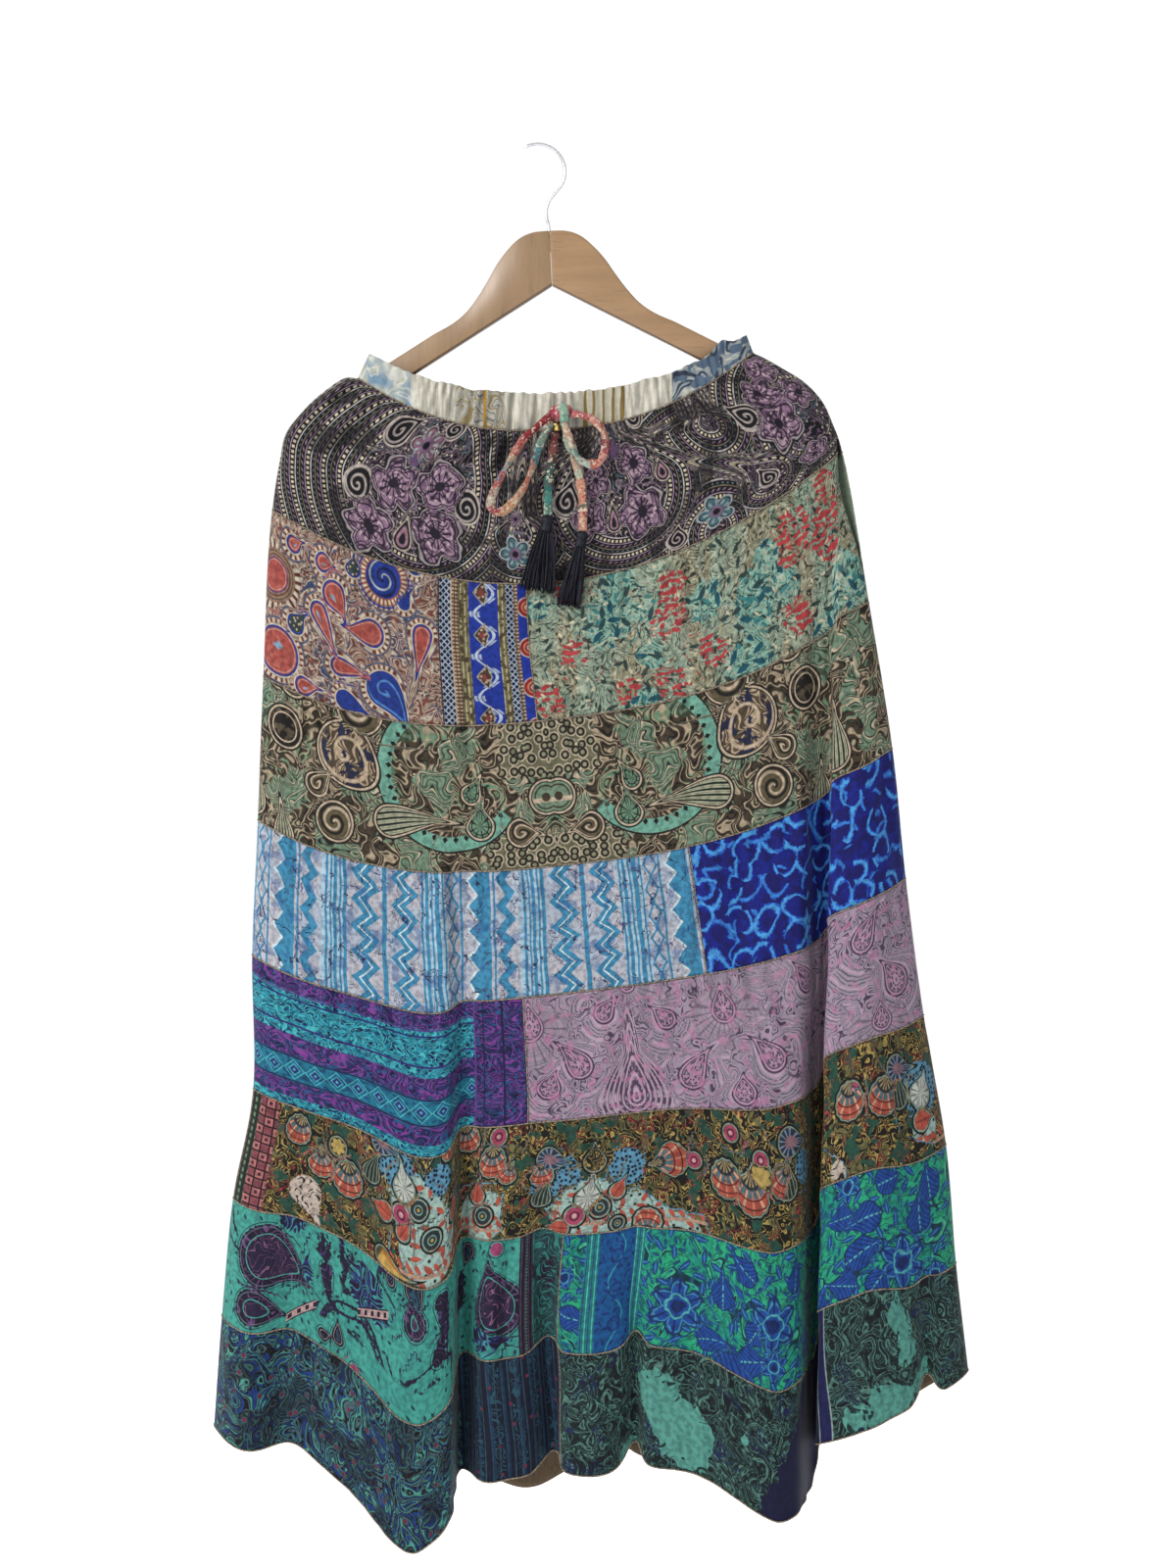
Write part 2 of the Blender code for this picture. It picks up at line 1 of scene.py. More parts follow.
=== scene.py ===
# Looks for the tiered patchwork maxi skirt on its wooden hanger.
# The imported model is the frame; everything that shows is worked out here around it.
import math
from collections import namedtuple

import bpy
import numpy as np
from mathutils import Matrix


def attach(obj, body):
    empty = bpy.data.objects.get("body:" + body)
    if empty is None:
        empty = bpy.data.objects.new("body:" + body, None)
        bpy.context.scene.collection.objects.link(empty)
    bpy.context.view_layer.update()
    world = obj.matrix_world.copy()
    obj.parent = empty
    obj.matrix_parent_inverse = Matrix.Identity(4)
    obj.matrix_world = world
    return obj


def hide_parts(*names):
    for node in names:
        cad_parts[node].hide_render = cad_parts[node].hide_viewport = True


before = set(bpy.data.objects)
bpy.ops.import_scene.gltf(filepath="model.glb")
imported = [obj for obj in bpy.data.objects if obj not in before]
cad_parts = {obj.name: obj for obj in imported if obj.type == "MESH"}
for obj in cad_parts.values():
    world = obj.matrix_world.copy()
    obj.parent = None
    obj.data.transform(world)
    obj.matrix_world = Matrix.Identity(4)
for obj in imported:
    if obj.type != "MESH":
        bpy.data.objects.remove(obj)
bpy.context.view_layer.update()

# Camera and light
# The photograph looks straight at the front from about three metres, level with
# the middle of the skirt. Soft light comes from a large window on the upper left.
MM = 0.001
PHOTO_WIDE, PHOTO_HIGH = 1200, 1600     # the photograph, in its own pixels
MM_PER_PIXEL = 0.88                     # at the skirt's front
VIEW_HEIGHT = PHOTO_HIGH * MM_PER_PIXEL * MM
CAMERA_AT = (0.0466, -3.0, -0.5729)
FLOOR_Z = -1.62
camera_data = bpy.data.cameras.new("camera")
camera_data.sensor_fit = "VERTICAL"
camera_data.sensor_height = 24
camera_data.lens = camera_data.sensor_height * -CAMERA_AT[1] / VIEW_HEIGHT
camera = bpy.data.objects.new("camera", camera_data)
camera.location = CAMERA_AT
camera.rotation_euler = (math.pi / 2, 0, 0)
bpy.context.scene.collection.objects.link(camera)
bpy.context.scene.camera = camera
bpy.context.scene.view_settings.view_transform = "Standard"


def add_light(name, at, aim, size, watts, tint):
    data = bpy.data.lights.new(name, "AREA")
    data.size = size
    data.energy = watts
    data.color = tint
    light = bpy.data.objects.new(name, data)
    light.location = at
    towards = np.array(aim, float) - np.array(at, float)
    flat = math.hypot(towards[0], towards[1])
    light.rotation_euler = (math.atan2(flat, -towards[2]), 0, math.atan2(-towards[0], towards[1]))
    bpy.context.scene.collection.objects.link(light)


add_light("window", (-2.6, -2.4, 1.1), (0.05, 0, -0.6), 1.5, 175, (1.0, 0.985, 0.96))
add_light("front fill", (1.6, -3.4, -0.4), (0.05, 0, -0.6), 2.2, 10, (0.97, 0.985, 1.0))
add_light("back fill", (0.8, 2.8, 0.4), (0.05, 0, -0.6), 2.2, 36, (1.0, 1.0, 1.0))

world = bpy.data.worlds.new("studio")
world.use_nodes = True
backdrop = world.node_tree.nodes["Background"]
backdrop.inputs["Color"].default_value = (1, 1, 1, 1)
backdrop.inputs["Strength"].default_value = 1.04
bpy.context.scene.world = world


# Floor
# A plain pale studio floor, well below the hem because the skirt hangs from a rail.
class Field:
    """A socket in a material. Arithmetic on it adds Math nodes, and node() adds any other."""

    def __init__(self, socket):
        self.socket = socket
        self.tree = socket.id_data

    def node(self, kind, settings=None, inputs=None, output=0):
        made = self.tree.nodes.new(kind)
        for name, value in (settings or {}).items():
            if name == "stops":
                ramp = made.color_ramp
                while len(ramp.elements) < len(value):
                    ramp.elements.new(0.5)
                for element, (place, colour) in zip(ramp.elements, value):
                    element.position = place
                    element.color = (*colour, 1)
            elif name == "interpolation":
                made.color_ramp.interpolation = value
            else:
                setattr(made, name, value)
        for name, value in (inputs or {}).items():
            target = made.inputs[name]
            if isinstance(value, Field):
                self.tree.links.new(value.socket, target)
            else:
                target.default_value = value
        return Field(made.outputs[output])

    def math(self, operation, *values, clamp=False):
        return self.node("ShaderNodeMath", {"operation": operation, "use_clamp": clamp},
                         dict(enumerate(values)))

    def number(self, name):
        """A number that each point of the piece keeps under a name."""
        return self.node("ShaderNodeAttribute", {"attribute_name": name}, output=2)

    def vector(self, name):
        """Three numbers that each point of the piece keeps under a name."""
        return self.node("ShaderNodeAttribute", {"attribute_name": name}, output=1)

    def noise(self, scale, detail=2.0, **more):
        """A soft cloud in space, from 0 to 1."""
        return self.node(
            "ShaderNodeTexNoise", None, {"Vector": self, "Scale": scale, "Detail": detail, **more})

    def __add__(self, other):
        return self.math("ADD", self, other)

    def __radd__(self, other):
        return self.math("ADD", other, self)

    def __sub__(self, other):
        return self.math("SUBTRACT", self, other)

    def __rsub__(self, other):
        return self.math("SUBTRACT", other, self)

    def __mul__(self, other):
        return self.math("MULTIPLY", self, other)

    def __rmul__(self, other):
        return self.math("MULTIPLY", other, self)

    def __truediv__(self, other):
        return self.math("DIVIDE", self, other)

    def __mod__(self, other):
        return self.math("FLOORED_MODULO", self, other)

    def __abs__(self):
        return self.math("ABSOLUTE", self)

    def sin(self):
        return self.math("SINE", self)

    def floor(self):
        return self.math("FLOOR", self)

    def above(self, edge, soft=0.2):
        """1 where this is over an edge and 0 where it is under, with a soft change between."""
        return self.math("MULTIPLY_ADD", self, 1 / soft, 0.5 - edge / soft, clamp=True)

    def under(self, edge, soft=0.2):
        return 1 - self.above(edge, soft)

    def line(self, at, width, soft=0.2):
        """1 along a line where this equals at, the line's width in the same units."""
        return abs(self - at).under(width / 2, soft)


def new_material(name, roughness, metallic=0.0, **constants):
    """An empty principled material, its shader, and a Field from which other nodes are made."""
    made = bpy.data.materials.new(name)
    made.use_nodes = True
    shader = made.node_tree.nodes["Principled BSDF"]
    shader.inputs["Roughness"].default_value = roughness
    shader.inputs["Metallic"].default_value = metallic
    for socket, value in constants.items():
        shader.inputs[socket.replace("_", " ")].default_value = value
    place = Field(made.node_tree.nodes.new("ShaderNodeTexCoord").outputs["Object"])
    return made, shader, place


def feed(shader, socket, value):
    shader.id_data.links.new(value.socket, shader.inputs[socket])


def new_piece(name, points, faces, material):
    """A piece at the origin from an array of points in millimetres and its faces."""
    mesh = bpy.data.meshes.new(name)
    if isinstance(faces, np.ndarray):
        faces = faces.tolist()
    mesh.from_pydata((np.asarray(points, float).reshape(-1, 3) * MM).tolist(), [], faces)
    mesh.shade_smooth()
    mesh.materials.append(material)
    made = bpy.data.objects.new(name, mesh)
    bpy.context.scene.collection.objects.link(made)
    return made


floor_paint, floor_shader, _ = new_material("floor paint", 0.9)
floor_shader.inputs["Base Color"].default_value = (0.97, 0.97, 0.97, 1)
angles = np.linspace(0, 2 * math.pi, 97)[:-1]
rim = np.stack([np.cos(angles) * 30, np.sin(angles) * 30, angles * 0 + FLOOR_Z], -1) / MM
floor = new_piece("floor", rim, [list(range(96))], floor_paint)


# Hanger
# Two flat beech arms are glued end to end at an upright joint, sanded round at
# their edges and lacquered. A bent steel wire stands in a hole over the joint.
HANGER_ROLL = math.radians(-3)
JOINT_X = 7.9
ARM_REACH, ARM_HALF_THICK = 220.0, 5.5
ARM_END = 9.0                   # the rounded end of an arm
HEAD_X = [0, 15, 27, 37, 48, 57.5, 67, 78, 91, 108]
HEAD_Z = [-77.0, -77.9, -82.5, -91.0, -104.0, -119.0, -133.0, -146.0, -155.8, -164.3]
ARM_SLOPE = 0.566
ARM_FOOT = (-126.5, -252.1)     # underside at the joint and at the end


def smooth_line(points, count):
    """Evenly spaced points on a smooth curve (Catmull-Rom) through the given ones."""
    points = np.array(points, float)
    padded = np.concatenate([2 * points[:1] - points[1:2], points, 2 * points[-1:] - points[-2:-1]])
    a, b, c, d = (padded[k:len(padded) - 3 + k, None] for k in range(4))
    t = np.linspace(0, 1, 24, endpoint=False)[None, :, None]
    curve = 0.5 * (2*b + (c - a)*t + (2*a - 5*b + 4*c - d)*t**2 + (3*b - a - 3*c + d)*t**3)
    curve = np.concatenate([curve.reshape(-1, points.shape[1]), points[-1:]])
    along = np.concatenate([[0], np.cumsum(np.linalg.norm(np.diff(curve, axis=0), axis=1))])
    at = np.linspace(0, along[-1], count)
    return np.stack([np.interp(at, along, curve[:, k]) for k in range(points.shape[1])], axis=1)


def turned_with_hanger(points):
    """Points of the hanger's upright frame after it has rolled to its left."""
    x, y, z = np.moveaxis(np.asarray(points, float), -1, 0)
    c, s = math.cos(HANGER_ROLL), math.sin(HANGER_ROLL)
    return np.stack([x * c + z * s, y, -x * s + z * c], -1)


def grid_faces(rows, columns, round_columns=False, round_rows=False):
    """Four-cornered faces of a grid of points, closed round in either direction."""
    index = np.arange(rows * columns).reshape(rows, columns)
    if round_columns:
        index = np.concatenate([index, index[:, :1]], axis=1)
    if round_rows:
        index = np.concatenate([index, index[:1]], axis=0)
    return np.stack([index[:-1, :-1], index[1:, :-1], index[1:, 1:], index[:-1, 1:]], -1).reshape(-1, 4)


def capped(rings):
    """Faces of a row of rings closed by a fan at both ends, and the points with the two centres."""
    rows, sides = rings.shape[:2]
    points = np.concatenate([rings.reshape(-1, 3), rings[:1].mean(1), rings[-1:].mean(1)])
    first, last = rows * sides, rows * sides + 1
    ring = np.arange(sides)
    after = (ring + 1) % sides
    start = np.stack([ring * 0 + first, ring, after], -1)
    end = np.stack([ring * 0 + last, after + first - sides, ring + first - sides], -1)
    return points, grid_faces(rows, sides, round_columns=True).tolist() + start.tolist() + end.tolist()


def arm_rings(side):
    """Rounded rectangles across an arm: between its top and foot edges, 11 mm thick, and
    drawn together over its end. side is -1 for the left arm and 1 for the right."""
    rounding = ARM_REACH - ARM_END * np.cos(np.linspace(0, math.pi / 2, 10))[1:]
    out = np.concatenate([[0.15, 0.4], np.linspace(3, 210, 140), rounding])
    profile = smooth_line(np.stack([HEAD_X, HEAD_Z], -1), 200)
    straight = HEAD_Z[-1] - ARM_SLOPE * (out - HEAD_X[-1])
    top = np.where(out < HEAD_X[-1], np.interp(out, profile[:, 0], profile[:, 1]), straight)
    foot = ARM_FOOT[0] + (ARM_FOOT[1] - ARM_FOOT[0]) * out / ARM_REACH
    last = np.clip(out - (ARM_REACH - ARM_END), 0, ARM_END) / ARM_END
    drawn = np.sqrt(np.clip(1 - last ** 2, 0.02, 1))
    drawn[0] = 0.985
    middle, half = (top + foot) / 2, (top - foot) / 2 * drawn
    thick = ARM_HALF_THICK * (0.4 + 0.6 * drawn)
    corner = np.linspace(0, math.pi / 2, 5)
    angle = np.concatenate([corner + k * math.pi / 2 for k in range(4)])
    round_off = np.where(np.sin(angle) > 0, 2.4, 3.4)
    y = np.sign(np.cos(angle + 1e-9)) * (thick[:, None] - round_off) + np.cos(angle) * round_off
    z = np.sign(np.sin(angle + 1e-9)) * (half[:, None] - round_off) + np.sin(angle) * round_off
    x = JOINT_X + side * out[:, None] + 0 * z
    rings = np.stack([x, side * -y, middle[:, None] + z], -1)
    return rings, (middle[:, None] + z - foot[:, None]) + 0 * x


def over(below, colour, mask):
    """A plain colour or a colour socket laid over another one where a mask is 1."""
    return mask.node("ShaderNodeMix", {"data_type": "RGBA"},
                     {0: mask, 6: (*below, 1) if isinstance(below, tuple) else below,
                      7: (*colour, 1) if isinstance(colour, tuple) else colour}, output=2)


def dent(shader, height, strength, distance):
    """Fine relief on a surface from a Field of heights."""
    settings = {"Height": height, "Strength": strength, "Distance": distance}
    feed(shader, "Normal", height.node("ShaderNodeBump", inputs=settings))


def keep(piece, name, values, kind="FLOAT"):
    """Gives each point of a piece its value, or its vector, under a name."""
    data = piece.data.attributes.new(name, kind, "POINT").data
    field = "value" if kind == "FLOAT" else "vector"
    data.foreach_set(field, np.ascontiguousarray(values, np.float32).ravel())


def fasten(piece, node=None):
    """Puts a piece on the one body and hides the CAD node it stands for."""
    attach(piece, "root")
    if node:
        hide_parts(node)


def wood(name, pale, deep, grain_turn, streak):
    """Lacquered beech: long soft grain, short dark flecks and painted shade along the edge underneath."""
    made, shader, place = new_material(name, 0.42, Coat_Weight=0.25, Coat_Roughness=0.3)
    turned = place.node("ShaderNodeMapping", inputs={"Vector": place, "Rotation": (0, grain_turn, 0),
                                                     "Scale": streak})
    grain, flecks = turned.noise(60, 5, Roughness=0.6), turned.noise(420)
    edge = place.number("from_foot")
    colour = over(pale, deep, grain.above(0.52, 0.3))
    colour = over(colour, tuple(0.55 * c for c in deep), flecks.above(0.66, 0.1) * 0.35)
    # painted shade: the arm's underside edge is darkened as if its lower bevel lay in shadow
    colour = over(colour, (0.06, 0.028, 0.014), edge.under(1.6, 1.6) * 0.85)
    feed(shader, "Base Color", colour)
    feed(shader, "Roughness", 0.36 + grain * 0.14)
    dent(shader, flecks, 0.08, 0.0004)
    return made


pale_wood = wood("pale beech", (0.165, 0.098, 0.044), (0.130, 0.074, 0.032), 0.0, (1.2, 1, 0.12))
warm_wood = wood(
    "warm beech", (0.204, 0.116, 0.051), (0.160, 0.089, 0.036), math.radians(-30), (0.12, 1, 1.2))
for side, node, finish in ((-1, "hanger_arm_left", pale_wood), (1, "hanger_arm_right", warm_wood)):
    rings, from_foot = arm_rings(side)
    points, faces = capped(turned_with_hanger(rings))
    arm = new_piece(node.replace("hanger_", "beech_"), points, faces, finish)
    keep(arm, "from_foot", np.append(from_foot.ravel(), [20, 20]))
    arm.data.set_sharp_from_angle(angle=math.radians(55))
    fasten(arm, node)


def tube_rings(path, across, thick, sides, turn=0.0, behind=(0, 1, 0)):
    """Oval rings along a path in the plane of the front: across wide in that plane and
    thick from front to back, turned about the path by an angle."""
    path = np.asarray(path, float)
    along = np.gradient(path, axis=0)
    along /= np.linalg.norm(along, axis=1, keepdims=True)
    side = np.cross(along, behind)
    side /= np.linalg.norm(side, axis=1, keepdims=True)
    up = np.cross(side, along)
    each = np.ones((len(path), 1))
    c, s = np.cos(each.T * turn).T, np.sin(each.T * turn).T
    side, up = side * c + up * s, up * c - side * s
    angle = np.linspace(0, 2 * math.pi, sides + 1)[:-1, None]
    wide, deep = (each.T * across / 2).T[..., None], (each.T * thick / 2).T[..., None]
    return path[:, None] + side[:, None] * wide * np.cos(angle) + up[:, None] * deep * np.sin(angle)


steel, steel_shader, steel_place = new_material("drawn steel", 0.24, 1.0)
streaks = steel_place.noise(900)
feed(steel_shader, "Base Color", over((0.42, 0.43, 0.45), (0.62, 0.63, 0.65), streaks.above(0.5, 0.3)))
feed(steel_shader, "Roughness", 0.2 + streaks * 0.16)
arc = np.radians(np.linspace(122, -42, 15))
hook_line = np.stack([1.5 + 24.6 * np.cos(arc), 0 * arc, -23 + 24.6 * np.sin(arc)], -1)
stem = [(15.2, 0, -45.2), (11.2, 0, -51.0), (9.4, 0, -58.0), (9.9, 0, -66.0), (11.4, 0, -72.0)]
stem_foot = turned_with_hanger([(JOINT_X, 0, HEAD_Z[0] - 19)])
hook_line = smooth_line(np.concatenate([hook_line, stem, stem_foot]), 170)
wire = 3.2 * np.clip(np.linspace(0, 30, 170) ** 0.5, 0.35, 1)
points, faces = capped(tube_rings(hook_line, wire, wire, 18))
fasten(new_piece("steel_hook", points, faces, steel), "hanger_hook")


# Cut of the skirt
# Eight gathered tiers and an elastic waistband, front and back, are sewn into a flat
# tube that flares to the hem. These rows shape it: the tube at each level, and its folds.
HEM_LEVEL = 9
Section = namedtuple(
    "Section", "level left_x left_z right_x right_z middle_z fullness half_depth side_round")
SECTIONS = [
    Section(0.00, -150, -187, 189, -170, -223, 2.3, 11.5, 12),
    Section(1.00, -160, -208.8, 195, -186, -256, 2.3, 11.5, 12),
    Section(1.10, -173, -209, 206, -191, -270, 2.2, 11.5, 12),
    Section(1.20, -192, -222, 220, -199, -284, 2.2, 11.5, 12),
    Section(1.35, -211, -240, 242, -213, -305, 2.1, 11.6, 12),
    Section(1.50, -225, -259, 258, -231, -326, 2.1, 11.8, 14),
    Section(1.65, -230, -282, 267, -251, -348, 2.0, 12.2, 16),
    Section(2.00, -237, -327, 275, -275, -392, 2.0, 13.0, 25),
    Section(3.00, -245, -476, 299, -410, -514, 2.6, 17.0, 40),
    Section(4.00, -250, -605, 320, -541, -644, 2.8, 20.0, 50),
    Section(5.00, -255, -726, 332, -658, -758, 3.0, 24.0, 60),
    Section(6.00, -254, -846, 348, -780, -870, 3.0, 28.0, 70),
    Section(7.00, -272, -944, 368, -896, -972, 3.0, 32.0, 70),
    Section(8.00, -282, -1049, 377, -1002, -1077, 3.0, 36.0, 70),
    Section(9.00, -289, -1147, 388, -1098, -1183, 3.0, 40.0, 70),
]
Fold = namedtuple("Fold", "top_x hem_x start depth drop left_width right_width")
FRONT_FOLDS = [
    Fold(-255, -270, 6.0, 12, 6, 18, 26), Fold(-215, -217, 5.5, -14, -14, 24, 26),
    Fold(-81, -107, 3.6, 26, 60, 48, 29), Fold(-63, -70, 2.8, -30, -14, 9, 15),
    Fold(-41, -41, 6.0, 8, 2, 14, 16), Fold(-24, 16, 5.6, -22, -18, 14, 14),
    Fold(48, 51, 6.5, 8, 2, 20, 18), Fold(89, 89, 6.4, -16, -22, 12, 12),
    Fold(195, 209, 4.2, 22, 46, 52, 32), Fold(254, 247, 0.6, -40, -1, 9, 9),
    Fold(267, 259, 0.6, -44, -1, 8, 9), Fold(296, 292, 1.8, 14, -18, 16, 34),
    Fold(256, 247, 3.4, 0, 34, 34, 7), Fold(348, 348, 7.5, -12, -24, 9, 9),
    Fold(292, 292, 7.9, 0, 18, 30, 30),]
BACK_FOLDS = [
    Fold(300, 318, 5.0, 20, 12, 40, 34), Fold(230, 236, 3.5, -18, -14, 22, 22),
    Fold(140, 150, 4.0, 24, 16, 46, 40), Fold(70, 72, 5.0, -14, -16, 18, 18),
    Fold(0, -8, 4.5, 20, 26, 40, 36), Fold(-80, -84, 3.5, -16, -14, 20, 20),
    Fold(-150, -168, 4.5, 22, 12, 44, 40), Fold(-225, -232, 6.0, -14, -12, 18, 18),
]
# A row is a ridge that leans sideways over its valley: where it is, the level where
# that begins, how far it leans at the hem, and how wide the leaning part is.
Lip = namedtuple("Lip", "top_x hem_x start lean width")
LIPS = [
    Lip(283, 273, 1.0, -23, 10),
    Lip(-82, -86, 4.5, 10, 11),
    Lip(10, 34, 6.8, -9, 9),
    Lip(104, 104, 7.4, -6, 9),
]


def section_at(level):
    """Each column of SECTIONS at a level, along a smooth curve through its rows."""
    levels = np.array([row.level for row in SECTIONS])
    place = int(np.clip(np.searchsorted(levels, level) - 1, 0, len(levels) - 2))
    span = levels[place + 1] - levels[place]
    t = (level - levels[place]) / span
    rows = np.array(SECTIONS, float)
    slopes = np.gradient(rows, levels, axis=0) * span
    if place == 0:
        slopes[:2] = rows[1] - rows[0]
    return Section(*((2*t**3 - 3*t**2 + 1) * rows[place] + (t**3 - 2*t**2 + t) * slopes[place]
                     + (3*t**2 - 2*t**3) * rows[place + 1] + (t**3 - t**2) * slopes[place + 1]))


def growth(start, level):
    """0 where a fold begins, rising smoothly to 1 at the hem."""
    t = np.clip((level - start) / (HEM_LEVEL - start), 0, 1)
    return t * t * (3 - 2 * t)


def cloth_at_x(x, level, front):
    """Middle of the cloth at places x of a level: the drooping chord between the sides,
    pushed out and dropped by the bell-shaped folds, and rounded off at the sides."""
    row = section_at(level)
    width = row.right_x - row.left_x
    u = np.clip((x - row.left_x) / width, 0, 1)
    chord = row.left_z + (row.right_z - row.left_z) * u
    droop = (row.left_z + row.right_z) / 2 - row.middle_z + (0 if front else 4)
    z = chord - droop * (1 - np.abs(2 * u - 1) ** row.fullness)
    share = (level - 1) / (HEM_LEVEL - 1)
    out, drop, shift = np.zeros_like(x), np.zeros_like(x), np.zeros_like(x)
    for fold in FRONT_FOLDS if front else BACK_FOLDS:
        line = fold.top_x + (fold.hem_x - fold.top_x) * share
        side = np.where(x < line, fold.left_width, fold.right_width)
        bump = np.exp(-((x - line) / side) ** 2) * growth(fold.start, level)
        out += fold.depth * bump
        drop += fold.drop * bump
    for lip in LIPS if front else []:
        line = lip.top_x + (lip.hem_x - lip.top_x) * share
        shift += lip.lean * np.exp(-((x - line) / lip.width) ** 2) * growth(lip.start, level) ** 0.5
    near = 1 - np.minimum(np.minimum(u, 1 - u) * width / row.side_round, 1)
    rounding = np.sqrt(1 - near ** 2)
    y = (row.half_depth + out) * rounding
    return np.stack([x + shift, -y if front else y, z - drop * rounding], axis=-1)


def cloth_row(shares, level, front):
    """Cloth at shares of a level's length, left to right."""
    row = section_at(level)
    fine = (1 - np.cos(np.linspace(0, math.pi, 1601))) / 2
    x = row.left_x + (row.right_x - row.left_x) * fine
    line = cloth_at_x(x, level, front)
    along = np.concatenate([[0], np.cumsum(np.linalg.norm(np.diff(line, axis=0), axis=1))])
    return cloth_at_x(np.interp(shares * along[-1], along, x), level, front)


def uneven_wave(shares, waves, seed):
    """A wave whose pitch and height vary across the width, from -1 to 1."""
    phase = 2 * math.pi * (waves * shares + 0.28 * np.sin(2 * math.pi * 3.1 * shares + seed)
                           + 0.16 * np.sin(2 * math.pi * 7.3 * shares + 2.1 * seed))
    height = 0.62 + 0.38 * np.sin(2 * math.pi * 2.3 * shares + 1.7 * seed)
    return np.sin(phase) * height


# A row is a soft crease in the photograph's own pixels: its two
# ends, its half width and its height in millimetres, where a trough is negative.
Crease = namedtuple("Crease", "x0 y0 x1 y1 width height")
CREASES = [
    Crease(*row) for row in [(700, 560, 704, 700, 6, -1.6), (703, 690, 701, 850, 4, -2.2),
        (735, 500, 738, 640, 8, 1.8), (812, 470, 816, 640, 7, -2.6), (478, 700, 480, 835, 5, -2.4),
        (487, 690, 492, 840, 6, 1.8), (466, 870, 462, 985, 5, -2.2), (452, 875, 450, 1010, 7, 2.4),
        (344, 850, 340, 960, 9, 1.4), (343, 1000, 346, 1060, 8, -1.8), (706, 860, 711, 1010, 4, -1.8),
        (668, 900, 672, 1010, 6, 1.2), (640, 1010, 646, 1150, 8, -1.3), (612, 1000, 606, 1140, 9, 1.4),
        (590, 590, 594, 720, 8, 1.3), (640, 560, 646, 700, 9, -1.4), (560, 620, 556, 720, 8, -1.2),
        (330, 640, 322, 740, 10, 1.6), (300, 760, 292, 880, 10, -1.6), (392, 720, 386, 850, 10, 1.5),
        (430, 640, 424, 740, 8, -1.2), (778, 700, 784, 830, 9, 1.8), (752, 870, 762, 1000, 9, -1.6),
        (792, 1000, 798, 1120, 8, 1.8), (752, 1120, 756, 1240, 8, -1.8), (690, 1130, 684, 1250, 9, 1.6),
        (610, 1150, 604, 1260, 8, -1.6), (880, 620, 890, 780, 7, 1.5), (905, 760, 918, 930, 8, -1.6),
        (935, 1050, 950, 1180, 8, 1.6), (880, 1200, 884, 1330, 7, -1.6), (960, 1290, 966, 1400, 6, -2.2),
        (640, 1330, 632, 1440, 8, 1.8), (700, 1340, 706, 1450, 7, -1.8), (740, 1360, 746, 1500, 8, 1.8),
        (380, 1150, 372, 1270, 9, -1.6), (300, 1130, 290, 1250, 9, 1.6), (340, 1330, 350, 1440, 10, -2.0),
        (305, 1340, 300, 1430, 9, 1.8), (400, 1390, 410, 1500, 8, 1.8), (520, 1240, 516, 1420, 6, -2.2),
        (500, 1260, 496, 1450, 6, 1.8), (352, 440, 330, 560, 12, -1.2), (430, 430, 424, 560, 8, 1.0),
        (500, 460, 498, 590, 6, -1.2), (664, 430, 668, 560, 8, -1.0), (720, 410, 724, 540, 8, 1.2),
        (845, 440, 870, 560, 10, -1.6)]]
# Where tier 1 puffs out under the waistband, and where the waistband's top rolls over,
# in the same pixels.
PUFF_AT, ROLLED_X = (448, 412), 736


def photo_place(points):
    """Where points are seen in the photograph, in its pixels, from the camera's place."""
    reach = (points[..., 1] * MM - CAMERA_AT[1]) / -CAMERA_AT[1]
    scale = PHOTO_HIGH / VIEW_HEIGHT / reach
    return (PHOTO_WIDE / 2 + (points[..., 0] * MM - CAMERA_AT[0]) * scale,
            PHOTO_HIGH / 2 - (points[..., 2] * MM - CAMERA_AT[2]) * scale)


def nearest(points, x, y):
    """The row and column of the point of a grid that is seen nearest to a pixel."""
    seen_x, seen_y = photo_place(points)
    return np.unravel_index(np.argmin((seen_x - x) ** 2 + (seen_y - y) ** 2), seen_x.shape)


